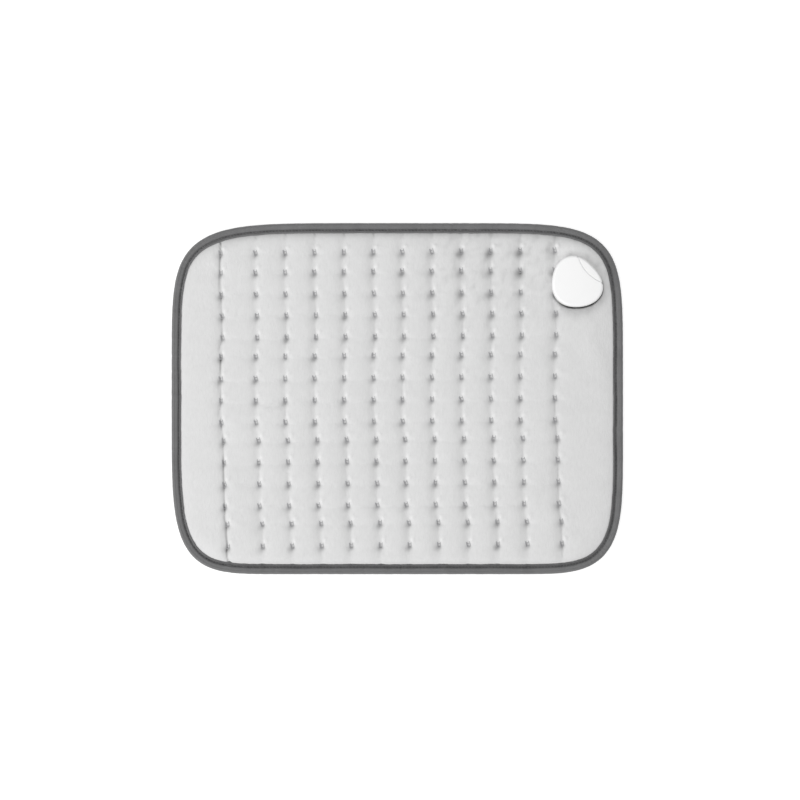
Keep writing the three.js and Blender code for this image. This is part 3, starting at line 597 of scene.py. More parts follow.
def tape_look():
    """Ribs along the tape and fine yarns across them, both laid out by the mesh's own UV in millimetres."""
    look = Look("tape", (0.150, 0.150, 0.152), 0.85)
    uv = look.add("ShaderNodeUVMap", uv_map="along").outputs["UV"]
    parts = look.add("ShaderNodeSeparateXYZ", {"Vector": uv}).outputs
    ribs = look.math("SINE", look.math("MULTIPLY", parts["Y"], FULL_TURN / 0.95))
    yarns = look.math("SINE", look.math("MULTIPLY", parts["X"], FULL_TURN / 0.5))
    crossed = look.math("MULTIPLY", look.math("MULTIPLY", yarns, ribs), 0.4)
    weave = look.math("ADD", look.math("MULTIPLY", ribs, 0.6), crossed)
    fuzz = look.noise(0.7, 3.0, (1, 1, 1), 0.7)
    wear = look.noise(18, 3.0)
    zeroed = look.about_zero
    # The written tint is painted shade in the groove and on the lip.
    look.tint(look.painted_shade_and_nap(), look.math("MULTIPLY", weave, 0.11), zeroed(fuzz, 0.10), zeroed(wear, 0.07))
    return look.bump(0.16, (weave, 0.5), (fuzz, 0.5)).sheen(0.25, 0.45).material


def thread_look(name, color):
    look = Look(name, color, 0.6)
    twist = look.noise(0.35, 1.0)
    look.tint(look.about_zero(twist, 0.12))
    return look.bump(0.08, (twist, 1.0)).sheen(0.2, 0.4).material


def moulded_look(name, color, roughness, grain=0.35):
    """Injection-moulded plastic with a fine sparked grain."""
    look = Look(name, color, roughness)
    sparked = look.noise(grain, 2.0, (1, 1, 1), 0.6)
    look.tint(look.about_zero(look.noise(14), 0.006), look.about_zero(sparked, 0.004))
    look.rough_by(look.noise(5, 3.0), roughness - 0.05, roughness + 0.07)
    return look.bump(0.012, (sparked, 1.0)).material


def metal_look(name, color, roughness, stretch):
    look = Look(name, color, roughness, 1.0)
    drawn = look.noise(0.5, 2.0, stretch)
    look.tint(look.about_zero(drawn, 0.05))
    look.rough_by(drawn, roughness - 0.08, roughness + 0.1)
    return look.bump(0.01, (drawn, 1.0)).material


def board_look():
    look = Look("board", (0.05, 0.14, 0.08), 0.45)
    inputs = {"Vector": look.place, "Scale": 1 / (0.8 * MM)}
    weave = look.add("ShaderNodeTexVoronoi", inputs).outputs["Distance"]
    look.tint(look.ranged(weave, 0, 1, -0.1, 0.1), look.about_zero(look.noise(4), 0.06))
    return look.bump(0.02, (weave, 1.0)).material


plush = plush_look()
lining = woven_look("lining", (0.47, 0.47, 0.48), 0.7, 0.10, 0.10)
felt = felt_look("felt", (0.80, 0.78, 0.74))
fleece = felt_look("fleece", (0.74, 0.71, 0.65))
tape = tape_look()
tack_thread = thread_look("tack_thread", (0.36, 0.36, 0.37))
binding_thread = thread_look("binding_thread", (0.05, 0.05, 0.052))
wire_sheath = moulded_look("wire_sheath", (0.80, 0.76, 0.66), 0.5, 0.8)
white_shell = moulded_look("white_shell", (0.88, 0.88, 0.88), 0.34)
inner_plastic = moulded_look("inner_plastic", (0.70, 0.70, 0.68), 0.5)
grommet_rubber = moulded_look("grommet_rubber", (0.55, 0.55, 0.54), 0.7, 0.5)
board = board_look()
steel = metal_look("steel", (0.46, 0.46, 0.45), 0.32, (1, 1, 6))
brass = metal_look("brass", (0.58, 0.37, 0.08), 0.28, (6, 6, 1))


def finish_piece(piece, material, slot, *nodes, body="pad"):
    """Gives a piece its material, lets it stand for its CAD nodes and ride on its body; its slot is not used.
    """
    piece.data.materials.clear()
    piece.data.materials.append(material)
    if nodes:
        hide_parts(*nodes)
    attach(piece, body)
    return piece


# Top cover

# Steps to a cell of the quilt, and how much closer they lie at its ends
CELL_COLUMNS = (8, 0.55)
CELL_ROWS = (6, 0.5)
MARGIN_RINGS = 12
FOOT_INSET = 10.2
MOST_RELIEF = 3.0
RIM_INSETS = (9.4, 8.2, 6.8, 5.4, 4.2)
CLOTH_FRAMES = 20
CLOTH_PRESSURE = 1.2
CLOTH_GROWTH = 0.025
CLOTH_SHARE = 0.35
MOST_RISE = 2.6
CREVICE_WAY = math.radians(-67)
LIT_WAY = math.radians(50)


def base_height(points):
    """The filled pad's upper face: full in its middle, lower along its valleys, tacks and binding."""
    inset, inward = nearest_edge(points)
    end = np.where(inward[:, 1] < 0, EDGE_SOFTNESS["top"], EDGE_SOFTNESS["bottom"])
    softness = EDGE_SOFTNESS["side"] * inward[:, 0] ** 2 + end * inward[:, 1] ** 2
    height = LIP_Z + (CROWN_Z - LIP_Z) * (1 - np.exp(-(inset - FOOT_INSET).clip(0) / softness))
    _, offset, beyond, _ = column_offset(points)
    height -= VALLEY["depth"] * bell(offset, VALLEY["reach"]) * bell(beyond, 16)
    away = (nearest_tack(points)[1] - DIP["shift"]) / DIP["reach"]
    return height - DIP["depth"] * np.exp(-(away**2).sum(1))


def crowded(cells, steps, crowding):
    """Grid lines over a number of cells, closer together near the cells' ends."""
    place = np.arange(cells * steps + 1) / steps
    return place - crowding * np.sin(FULL_TURN * place) / FULL_TURN


def cover_mesh():
    """Points and faces of the cover's upper face before it is filled, and which points are held."""
    x, y = quilt_xy(*np.meshgrid(crowded(COLUMNS - 1, *CELL_COLUMNS), crowded(ROWS - 1, *CELL_ROWS)))
    index = np.arange(x.size).reshape(x.shape)
    corners = (index[1:, :-1], index[1:, 1:], index[:-1, 1:], index[:-1, :-1])
    faces = [np.stack([corner.ravel() for corner in corners], -1)]
    points = [np.c_[x.ravel(), y.ravel()]]
    sides = [index[0, 1:][::-1], index[:-1, 0], index[-1, :-1], index[1:, -1][::-1]]
    before = np.concatenate(sides)
    count, base, inner = len(before), x.size, points[0][before]
    starts = [edge.nearest_length(points[0][side[0]]) for side in sides]
    stations = []
    for start, end, side in zip(starts, np.roll(starts, -1), sides):
        stations.append(start + (end - start) % edge.total * np.arange(len(side)) / len(side))
    stations = np.concatenate(stations)
    way = edge.at(stations, FOOT_INSET) - inner
    places = [inner + way * (1 - (1 - k / MARGIN_RINGS) ** 1.4) for k in range(1, MARGIN_RINGS + 1)]
    for place in places + [edge.at(stations, inset) for inset in RIM_INSETS]:
        points.append(place)
        now = base + np.arange(count)
        faces.append(np.c_[before, now, np.roll(now, -1), np.roll(before, -1)])
        base += count
        before = now
    points = np.concatenate(points)
    height = base_height(points)
    held_rim = np.arange(base - count * len(RIM_INSETS), base)
    height[held_rim] = RIM_Z
    outside = outside_unit(points)
    risen = height - PRESSED_Z
    height = np.where(risen > 0, PRESSED_Z + risen * np.clip((outside - 1) / 7, 0, 1), height)
    held_tacks = index[:: CELL_ROWS[0], :: CELL_COLUMNS[0]].ravel()
    held = np.unique(np.concatenate([held_tacks, held_rim, np.flatnonzero(outside < 1.0)]))
    return np.c_[points, height], np.concatenate(faces), held


def fill_cloth(piece, held):
    """Blows the cloth up a little between its tacks, and keeps a share of the result."""
    pinned = piece.vertex_groups.new(name="held")
    pinned.add([int(i) for i in held], 1.0, "REPLACE")
    cloth = modify(piece, "CLOTH")
    set_all(
        cloth.settings, quality=6, mass=0.15, air_damping=2, tension_stiffness=8, compression_stiffness=8,
        shear_stiffness=3, bending_stiffness=0.15, vertex_group_mass="held", use_pressure=True,
        uniform_pressure_force=CLOTH_PRESSURE, shrink_min=-CLOTH_GROWTH,
    )
    cloth.settings.effector_weights.gravity = 0
    cloth.collision_settings.use_collision = False
    set_all(cloth.point_cache, frame_start=1, frame_end=CLOTH_FRAMES)
    scene = set_all(bpy.context.scene, frame_start=1, frame_end=CLOTH_FRAMES)
    before = mesh_points(piece)
    for number in range(1, CLOTH_FRAMES + 1):
        scene.frame_set(number)
    apply_modifiers(piece)
    piece.vertex_groups.clear()
    moved = mesh_points(piece) - before
    # The margins are backed by the seam allowances: they puff up less and stay under the binding.
    inward = (inset_of(before) - FOOT_INSET).clip(0)
    moved[:, :2] = np.clip(moved[:, :2], -1.2, 1.2) * np.clip(inward / 12, 0, 1)[:, None]
    moved[:, 2] = np.clip(moved[:, 2] * CLOTH_SHARE * np.clip(inward / 25, 0, 1), -0.6, MOST_RISE)
    set_points(piece, before + moved)
    scene.frame_set(1)


def column_wander(column, points):
    """How far right of the tacks the crease runs: it bows to the left between two of them."""
    y = points[:, 1]
    bow = np.sin(math.pi * row_at(points[:, 0], y)) ** 2
    noise = smooth_noise(np.c_[column * 90.0, y], 38, SEED + 2)
    return 0.4 * noise - np.where(column == 0, 0.7 + 0.6 * bow, 0.8 * bow)


def creases(points):
    """Each point's column and way right of the crease, its strength and fade, and the pull at both ends."""
    column, offset, beyond, depth = column_offset(points)
    # The first column's crease shows all along, and the last one's along its lower half.
    changing = 0.02 + 0.16 * (0.8 + smooth_noise(np.c_[column * 60.0, points[:, 1]], 50, SEED + 1)).clip(0, 2)
    strength = np.where(column == 0, 1.05, changing)
    strength = np.where((column == COLUMNS - 1) & (depth > ROW_DEPTHS[7]), 0.55, strength)
    fade = bell(beyond, np.where(column == 0, 60.0, np.where(depth < 0, 24.0, 18.0)))
    # The top binding gathers the columns' ends, and the bottom one draws them down.
    to_foot = (inset_of(points) - FOOT_INSET).clip(0)
    gathered = bell(to_foot, 4.5) * bell(offset + 0.3, 1.1) * (depth < 0)
    tucked = bell(to_foot, 2.2) * bell(offset, 1.8) * (depth > ROW_DEPTHS[-1])
    return column, offset - column_wander(column, points), strength, fade, gathered, tucked


def wrinkle(points):
    """One slack fold that hangs between two neighbouring tacks."""
    first, second = tack_xy[tack_rows == WRINKLE["row"]][list(WRINKLE["columns"])]
    share = ((points[:, 0] - first[0]) / (second[0] - first[0])).clip(0, 1)
    line = first[1] - WRINKLE["start"] - WRINKLE["sag"] * np.sin(math.pi * share**1.3)
    return np.sin(math.pi * share).clip(0) ** 0.5 * bell(points[:, 1] - line, 1.0)


def crease_depths(points):
    """How deep the pile lies creased along the columns of tacks."""
    _, offset, strength, fade, gathered, tucked = creases(points)
    strength = strength * fade
    # Each crease is steep on its right and spreads to its left, and only clear ones are narrow.
    wide = np.where(offset < 0, 3.6, 2.0)
    depths = strength * (0.95 * strength.clip(0, 1) * bell(offset, 0.9) + 0.8 * bell(offset, wide))
    return depths + 0.5 * gathered + 1.2 * tucked + 0.4 * wrinkle(points)


def tack_pits(points):
    """How deep the tacks pull the pile down, with the nap standing up above and right of each."""
    tack, away = nearest_tack(points)
    x, y = away[:, 0], away[:, 1] - TACK_RISE
    uneven = 1 + 0.25 * smooth_noise(tack_xy, 30, SEED + 3)[tack]
    side = (smooth_noise(tack_xy, 14, SEED + 4)[tack] > 0.55) * 0.3 * blob(np.abs(x), y, 5, -2, 4.5, 0.9)
    return uneven * (1.05 * blob(x, y, 0, 0, 1.9, 2.9) + side) - 1.3 * blob(x, y, 2.9, 5.3, 1.6, 2.0)


def brushed(points):
    """Where the nap is ruffled: towards the top, over the middle and right columns, and round the unit."""
    corner = np.clip((points[:, 0] + 10) / 70, 0, 1) * np.clip((points[:, 1] - 60) / 60, 0, 1)
    return np.maximum(corner, 0.8 * np.clip(1 - outside_unit(points) / 26, 0, 1))


def beside_unit(points, way):
    """How squarely the points lie on one side of the unit, as a share."""
    away = points[:, :2] - UNIT_MIDDLE
    return np.clip(1.2 * np.cos(np.arctan2(away[:, 1], away[:, 0]) - way) + 0.12, 0, 1)


def unit_crevice(points):
    """The narrow shaded gap round the unit's foot, widest below it and closed above it."""
    return bell(outside_unit(points) - 0.5, 0.95) * beside_unit(points, CREVICE_WAY)


def painted_shade_and_nap(points):
    """How much darker each point is painted, as a share: painted shade and highlights that follow the relief,
    the unit's painted shadow, and darker nap where it is ruffled.
    """
    column, offset, strength, fade, gathered, _ = creases(points)
    # Painted shade along each column's crease.
    line = (strength - 0.15).clip(0) * bell(offset + 0.2, 0.9) * fade
    tack, away = nearest_tack(points)
    x, y = away[:, 0], away[:, 1] - TACK_RISE
    parted = brushed(points)
    uneven = (1 + 0.45 * smooth_noise(tack_xy, 22, SEED + 13)[tack]).clip(0.3, 2.2) * (1 + 0.5 * parted)
    spread = 3.0 * (1 + 0.5 * parted)
    # Painted shade below and left of each tack and under it, and a painted highlight above and right of it.
    painted_tack_shading = 0.23 * uneven * blob(x, y, -1.5, -3.4, spread, spread)
    painted_tack_shading += 0.30 * blob(x, y, 0.6, -2.0, 2.0, 1.9) - 0.12 * blob(x, y, 2.5, 5.2, 1.5, 1.8)
    # Painted shade over the left side of each crease.
    beside = np.maximum(parted, 0.7 * (column > 2)) * bell(offset + 4.5, 4.5)
    # Darker nap in patches where it is ruffled.
    smudge = smooth_noise(points[:, :2] / (1, 1.3), 13, SEED + 5).clip(0) * parted
    inset, inward = nearest_edge(points)
    # Painted shade on the pile just below the top binding.
    under_tape = np.exp(-(inset - FOOT_INSET - 0.6).clip(0) / 3.2) * (-inward[:, 1]).clip(0)
    outside = outside_unit(points)
    # The unit's painted shadow below it, and painted light on its upper right.
    painted_unit_shadow = 0.22 * bell(outside - 1, 8) * beside_unit(points, CREVICE_WAY) ** 2
    painted_unit_light = 0.17 * bell(outside - 6, 7) * beside_unit(points, LIT_WAY) ** 2
    # Painted shade under the top binding, in the gathered creases, in the wrinkle and in the gap round the
    # unit's foot.
    shade = 0.18 * under_tape + 0.25 * gathered + 0.08 * wrinkle(points) + 0.75 * unit_crevice(points)
    return 0.5 * line + painted_tack_shading + 0.07 * smudge + 0.055 * beside + shade + painted_unit_shadow - painted_unit_light


def refine_round_unit(piece):
    """Splits the faces near the unit's foot, where the pile folds in tightly."""
    mesh = bmesh.new()
    mesh.from_mesh(piece.data)
    middles = np.array([face.calc_center_median()[:2] for face in mesh.faces]) / MM
    near = np.abs(outside_unit(middles) - 0.6) < 2.6
    edges = {side for face, chosen in zip(mesh.faces, near) if chosen for side in face.edges}
    edges = sorted(edges, key=lambda side: side.index)
    bmesh.ops.subdivide_edges(mesh, edges=edges, cuts=3, use_grid_fill=True)
    mesh.to_mesh(piece.data)
    mesh.free()


def top_cover():
    points, faces, held = cover_mesh()
    piece = make_object("plush_cover", points, faces)
    fill_cloth(piece, held)
    modify(piece, "SUBSURF", levels=1, render_levels=1)
    apply_modifiers(piece)
    refine_round_unit(piece)
    upper = mesh_points(piece)
    inset = inset_of(upper)
    outside = outside_unit(upper)
    clear = np.clip(outside / 2, 0, 1)
    relief = crease_depths(upper) + tack_pits(upper) * clear
    relief = relief / np.sqrt(1 + (relief.clip(0) / MOST_RELIEF) ** 2)
    ruffled = (0.05 + 0.03 * brushed(upper)) * np.clip((inset - FOOT_INSET) / 8, 0, 1)
    tufts = ruffled * smooth_noise(upper[:, :2] / (1, 1.6), 5.5, SEED + 6, 3)
    free = np.clip((inset - FOOT_INSET - 0.6) / 2, 0, 1)
    height = upper[:, 2] + free * (clear * (tufts - relief) - 2.0 * unit_crevice(upper))
    height = np.where(inset > FOOT_INSET + 2, np.maximum(height, COVER_UNDER_Z + 0.2), height)
    upper[:, 2] = np.where(outside < 0.4, np.minimum(height, PRESSED_Z + 0.1), height)
    lower = upper.copy()
    under = np.minimum(COVER_UNDER_Z, upper[:, 2] - 0.35) - COVER_RIM_LOW
    lower[:, 2] = COVER_RIM_LOW + under * np.clip((inset - FOOT_INSET - 0.8) / 4, 0, 1)
    faces = [tuple(polygon.vertices) for polygon in piece.data.polygons]
    remove(piece)
    cover = closed_layer("plush_cover", upper, lower, faces)
    # Painted shade and highlights of the pile's relief, with darker ruffled nap, on the upper face only.
    set_shade(cover, np.r_[painted_shade_and_nap(upper), np.zeros(len(upper))])
    return finish_piece(cover, plush, "plush", "top_cover")


cover = top_cover()
cover_tree = BVHTree.FromPolygons(
    [tuple(point) for point in mesh_points(cover)], [tuple(face.vertices) for face in cover.data.polygons]
)


def on_cover(points):
    """Heights of the cover's upper face at 2-D points."""
    hits = [cover_tree.ray_cast(Vector((x, y, 40)), Vector((0, 0, -1)))[0] for x, y in points]
    return np.array([hit.z if hit else PRESSED_Z for hit in hits])


# Tack stitches: a small open box of strands at each tack, and the thread that runs on between them

BOX_HALF = (1.6, 2.8)
STRAND_RADIUS = 0.3
RUNNING_RADIUS = 0.22
LOCKSTITCH_RADIUS = 0.25
LINING_BAR_RADIUS = 0.24
STRAND_STEPS = 7
DIVE = np.sin(math.pi * np.linspace(0, 1, STRAND_STEPS)) ** 0.5


def box_strands():
    """The 2-D paths of one tack's strands."""
    wide, tall = BOX_HALF
    ends = [
        ((-wide, tall), (-wide, -tall)),
        ((-wide + 0.55, -tall), (-wide + 0.55, tall)),
        ((wide, -tall), (wide, tall)),
        ((-wide, -tall), (wide, -tall)),
        ((wide, -tall + 0.55), (-wide, -tall + 0.55)),
        ((-wide, tall * 0.3), (wide, tall * 0.3)),
    ]
    return [np.linspace(start, end, STRAND_STEPS) for start, end in ends]


def seam(column):
    """All the thread of one column."""
    mine = (tack_columns == column) & tack_shown
    rng = np.random.default_rng(SEED + 20 + column)
    paths = []
    for middle in tack_xy[mine]:
        turn = rng.normal(0.15, 0.09)
        spin = np.array([[math.cos(turn), math.sin(turn)], [-math.sin(turn), math.cos(turn)]])
        start = middle + (-0.3, TACK_RISE + 0.4)
        for path in box_strands():
            place = start + (path * rng.normal(1, 0.05, 2)) @ spin + rng.normal(0, 0.08, 2)
            paths.append(np.c_[place, on_cover(place) + 0.34 * DIVE - 0.18])
    points, faces = tubes(paths, STRAND_RADIUS, 6, 0.75 + 0.25 * DIVE)
    way = np.stack(quilt_xy(float(column), np.linspace(tack_rows[mine].min(), ROWS - 1, 220)), -1)
    way[:, 0] += column_wander(np.full(len(way), column), way)
    way = way[outside_unit(way) > 0.5]
    running, more = tubes([np.c_[way, on_cover(way) - 0.24]], RUNNING_RADIUS, 6)
    faces += [[i + len(points) for i in face] for face in more]
    number = f"{column + 1:02d}"
    piece = make_object(f"tack_stitches_{number}", np.concatenate([points, running]), faces)
    finish_piece(piece, tack_thread, "thread", f"seam_thread_{number}")


for column in range(COLUMNS):
    seam(column)


# Edge binding

STATION_STEP = 0.8
SECTION_INSETS = (
    3.2, 3.9, 4.6, 5.3, 5.8, 6.2, 6.55, 6.85, 7.1, 7.3, 7.5, 7.75, 8.05, 8.4, 8.8, 9.2, 9.55, 9.8,
)


def binding_section():
    """Insets, heights and stitch shares of the tape's section, round the outside and back inside."""
    insets = np.array(SECTION_INSETS)
    beyond = np.clip((insets - GROOVE_INSET) / (BINDING_WIDTH - GROOVE_INSET), 0, 1)
    crown = 0.25 * np.clip((insets - BINDING_ROLL) / (GROOVE_INSET - BINDING_ROLL), 0, 1) ** 2
    top = BINDING_HEIGHT - GROOVE_DEPTH * bell(insets - GROOVE_INSET, 1.0) - LIP_DROP * beyond**1.6 - crown
    low_end = 0.12 * beyond**2
    low = 0.75 * bell(insets - GROOVE_INSET, 0.7) + low_end
    pulled = bell(insets - GROOVE_INSET, 1.5)

    def rounded(inset, reach, low_z, high_z, turn, pull=0.0):
        middle, half = (high_z + low_z) / 2, (high_z - low_z) / 2
        return inset + reach * np.cos(turn), middle + half * np.sin(turn), pull + 0 * turn

    upwards = np.linspace(-math.pi / 2, math.pi / 2, 19)
    downwards = np.linspace(math.pi / 2, -math.pi / 2, 9)
    lip_turn = np.linspace(math.pi / 2, -math.pi / 2, 7)[1:]
    parts = [
        (insets[::-1], low[::-1], -pulled[::-1] * 0.6),
        rounded(BINDING_ROLL, -BINDING_ROLL, 0, BINDING_HEIGHT, upwards),
        (insets, top, pulled),
        rounded(insets[-1], 0.22, CHANNEL_TOP + 0.1, top[-1], lip_turn, 0.3),
        rounded(BINDING_ROLL, BINDING_WALL - BINDING_ROLL, BINDING_WALL, CHANNEL_TOP, downwards),
        rounded(insets[-1], 0.22, low_end[-1], BINDING_WALL, lip_turn),
    ]
    return [np.concatenate([part[k] for part in parts]) for k in range(3)]


def narrowed(lengths, across):
    """Insets on the tape, whose outer part is a little narrower everywhere but on the left."""
    inward = edge.normal(lengths)
    return across * (1 - 0.06 * (-inward[:, 0]).clip(0) - 0.05 * np.abs(inward[:, 1]))


def edge_binding():
    insets, heights, pulls = binding_section()
    count = int(edge.total / STATION_STEP)
    lengths = edge.total * np.arange(count) / count
    wave = circle(0, 0, edge.total / FULL_TURN, 0, count)[:, :2]
    wobble, small, puckers = (smooth_noise(wave, size, SEED + k) for size, k in ((60, 8), (9, 9), (5, 10)))
    puckers = 0.14 * puckers * np.clip(edge.turning(lengths) / 0.02, 0, 1)
    slack = np.cos(math.pi * round(edge.total / STITCH_PITCH) * lengths / edge.total) ** 2
    right, up = edge.normal(lengths).T
    # Along the bottom, each column's seam draws the tape's edge inwards.
    ends = column_x(np.arange(COLUMNS)) + row_shift(ROWS - 1)
    drawn = bell(edge.on(lengths)[:, [0]] - ends, 2.0).max(1) * up.clip(0)
    # The tape's inner part is narrowest along the left side.
    wider = 0.35 * np.abs(up) + 0.18 * (-right).clip(0) - 0.26 * right.clip(0) + 0.5 * drawn
    rings = []
    for inset, height, pull in zip(insets, heights, pulls):
        on_top = np.clip(height / BINDING_HEIGHT, 0, 1) if inset < 3 else float(height > BINDING_HEIGHT / 2)
        across = inset + 0.16 * wobble * (inset > 2) + 0.07 * small + 0.12 * pull * slack
        across = narrowed(lengths, across) + (inset - GROOVE_INSET).clip(0) * wider
        # The outermost point keeps to the outline.
        across = across.clip(0) if inset < 0.2 else across
        rise = (0.16 * small + 0.10 * wobble + puckers * (inset > 1.5)) * on_top - 0.30 * pull * slack
        rings.append(np.c_[edge.at(lengths, across), np.clip(height + rise, 0, BINDING_HEIGHT + 0.3)])
    piece = make_object("binding_tape", np.concatenate(rings), bands(len(rings), count, wrap_rings=True))
    # The UV gives the way along the tape and across it, in millimetres.
    steps = np.hypot(np.diff(insets), np.diff(heights))
    across_length = np.r_[0, np.cumsum(steps), steps.sum() + 1]
    loops = np.empty(len(piece.data.loops), int)
    piece.data.loops.foreach_get("vertex_index", loops)
    ring, station, number = loops // count, loops % count, np.arange(len(loops))
    u = lengths[station] + edge.total * ((station == 0) & (number % 4 % 3 > 0))
    v = across_length[np.where((ring == 0) & (number >= len(loops) - 4 * count), len(rings), ring)]
    piece.data.uv_layers.new(name="along").data.foreach_set("uv", np.c_[u, v].ravel())
    # Painted shade in the groove, and over the lip along the bottom and right sides.
    past = insets[:, None] - GROOVE_INSET
    set_shade(piece, (0.7 * bell(past, 0.75) + 0.3 * past.clip(0, 1) * (up - right).clip(0, 1)).ravel())
    finish_piece(piece, tape, "tape", "edge_binding")


def binding_stitches():
    """Lockstitches in the groove, above and below."""
    count = round(edge.total / STITCH_PITCH)
    middle = edge.total * (np.arange(count) + 0.5) / count
    rng = np.random.default_rng(SEED + 12)
    share = np.linspace(-0.5, 0.5, 6)
    arch = np.cos(math.pi * share) ** 0.6
    paths = []
    for level, sign in ((BINDING_HEIGHT - GROOVE_DEPTH - 0.1, 1), (0.72, -1)):
        for place, shift in zip(middle, rng.normal(0, 0.07, count)):
            lengths = place + share * STITCH_PITCH * 0.86
            xy = edge.at(lengths, narrowed(lengths, GROOVE_INSET + 0.05 + shift))
            paths.append(np.c_[xy, level + sign * (0.36 * arch - 0.16)])
    points, faces = tubes(paths, LOCKSTITCH_RADIUS, 6, 0.7 + 0.3 * arch)
    finish_piece(make_object("binding_stitches", points, faces), binding_thread, "thread")


edge_binding()
binding_stitches()


# Flat layers

# How far inside the outline the layers end, and how far apart their points lie
FULL_INSET = 3.4
FELT_INSET = 16
FINE_SPACING = 3.0
COARSE_SPACING = 7.0
# Width and length of the slots that the heater's leads rise through
FELT_SLOT = (3.6, 11.0)
BASE_SLOT = (4.2, 9.4)


def within(points, rings):
    """Which 2-D points lie inside the first ring and outside the others."""
    x, y = points[:, 0], points[:, 1]
    found = np.zeros(len(points), bool)
    for ring in rings:
        for (ax, ay), (bx, by) in zip(ring, np.roll(ring, -1, axis=0)):
            if ay != by:
                found ^= ((ay > y) != (by > y)) & (x < (bx - ax) * (y - ay) / (by - ay) + ax)
    return found


def ring_area(ring):
    x, y = ring.T
    return abs(np.sum(x * np.roll(y, -1) - y * np.roll(x, -1))) / 2


def cloth_layer(name, inset, spacing, holes, low, high, material, slot, node):
    """A closed layer of cloth between two height functions of its 2-D points, with holes through it."""
    holes = [hole[:, :2] for hole in holes]
    rings = [edge.ring(inset, round(edge.total / spacing)), *holes]
    half_length, half_width = PAD_SIZE / 2
    x, y = np.meshgrid(
        np.arange(-half_length, half_length, spacing), np.arange(-half_width, half_width, spacing * 0.9)
    )
    x = x + spacing / 2 * (np.arange(len(x)) % 2)[:, None]
    field = np.c_[x.ravel(), y.ravel()]
    field = field[within(field, rings)]
    edges, start = [], 0
    for ring in rings:
        gap = np.abs(field[:, None, :] - ring[None, :: max(1, len(ring) // 400)]).max(2).min(1)
        field = field[gap > spacing * 0.4]
        count = len(ring)
        edges += [(start + k, start + (k + 1) % count) for k in range(count)]
        start += count
    given = [Vector(point) for point in np.concatenate([*rings, field])]
    points, _, faces, *_ = geometry.delaunay_2d_cdt(given, edges, [], 0, 1e-5)
    points = np.array([tuple(point) for point in points])
    faces = np.array([face for face in faces if len(face) == 3])
    faces = faces[within(points[faces].mean(1), rings)]
    a, b, c = (points[faces[:, k]] for k in range(3))
    clockwise = (b[:, 0] - a[:, 0]) * (c[:, 1] - a[:, 1]) < (b[:, 1] - a[:, 1]) * (c[:, 0] - a[:, 0])
    faces[clockwise] = faces[clockwise][:, ::-1]
    piece = closed_layer(name, np.c_[points, high(points)], np.c_[points, low(points)], faces)
    finish_piece(piece, material, slot, node)
    area = (ring_area(edge.ring(inset, 800)) - sum(ring_area(hole) for hole in holes)) * MM**2


def slot_ring(width, length):
    """Rounded slot about the lead entry, long across the unit's axis."""
    ring = circle(ENTRY_X, 0, width / 2, 0, 24, 0.5)
    ring[:, 1] += np.sign(ring[:, 1]) * (length - width) / 2
    return ring


screw_places = [(r * math.cos(math.radians(a)), r * math.sin(math.radians(a))) for a, r in SCREWS]
screw_holes = [in_pad(circle(x, y, SCREW_RADIUS + CLEARANCE, 0, 24)) for x, y in screw_places]
lead_hole = in_pad(slot_ring(*FELT_SLOT))
plate_hole = in_pad(unit_ring(PLATE_INSET - CLEARANCE, 0, 96))


def level(height, size, depth, seed):
    return lambda points: height + depth * smooth_noise(points, size, SEED + seed)


def lining_slope(points):
    """One at the binding, falling to nought where the lining lies flat."""
    return np.clip((BINDING_WIDTH + 3 - inset_of(points)) / 3, 0, 1)


def lining_low(points):
    """The lining's lower face: drawn up by the tacks, and up into the binding at its rim."""
    slope = lining_slope(points)
    _, distance = nearest_in(tack_tree, points)
    pits = 0.75 * bell(distance, 2.6) + 0.12 * bell(distance, 8)
    pleats = 0.05 * (1 + smooth_noise(points, 24, SEED + 14))
    low = (BINDING_WALL + CLEARANCE) * (3 * slope**2 - 2 * slope**3) + (pits + pleats) * (slope == 0)
    return low.clip(0)


def lining_high(points):
    slope = lining_slope(points)
    return np.maximum(lining_low(points) + 0.35, LINING_TOP * (1 - slope) + 2.1 * slope)


cloth_layer(
    "lining_sheet", FULL_INSET, FINE_SPACING, [plate_hole], lining_low, lining_high,
    lining, "lining", "bottom_cover",
)
cloth_layer(
    "lower_felt", FELT_INSET, COARSE_SPACING, [plate_hole],
    level(1.5, 9, 0.06, 15), level(2.6, 7, 0.08, 16),
    felt, "felt", "lower_batting",
)
cloth_layer(
    "carrier_fleece", FULL_INSET, COARSE_SPACING, screw_holes,
    level(3.0, 12, 0.03, 17), level(3.45, 9, 0.04, 18),
    fleece, "fleece", "wire_carrier",
)
cloth_layer(
    "upper_felt", FELT_INSET, COARSE_SPACING, [*screw_holes, lead_hole],
    level(5.9, 9, 0.05, 19), level(6.8, 7, 0.08, 20),
    felt, "felt", "upper_batting",
)


def lining_stitches():
    """The lower side of the tacks, as short bars drawn up into the lining."""
    rng = np.random.default_rng(SEED + 21)
    paths = []
    for middle in tack_xy[tack_shown]:
        for path in box_strands()[:5]:
            place = middle + path * 0.9 + rng.normal(0, 0.08, 2)
            paths.append(np.c_[place, lining_low(place) + 0.12 - 0.2 * DIVE])
    points, faces = tubes(paths, LINING_BAR_RADIUS, 6, 0.75 + 0.25 * DIVE)
    points[:, 2] = points[:, 2].clip(0)
    finish_piece(make_object("lining_stitches", points, faces), tack_thread, "thread")


lining_stitches()


# Coupling unit

VOXEL = 0.24
MOULD_SMOOTHING = 6
PIN_HOLE_HALF = 11.6


def unit_solid(rings):
    """A solid over rings of the unit's frame."""
    points, faces = loft(rings)
    return make_object("solid", in_pad(points), faces)


def prism(ring, low, high):
    """A straight solid over a ring, in the unit's frame."""
    x, y = np.asarray(ring)[:, :2].T
    return unit_solid([flat_ring(x, y, z) for z in (low, high)])


def box(x0, x1, y0, y1, low, high):
    return prism([(x0, y0), (x1, y0), (x1, y1), (x0, y1)], low, high)


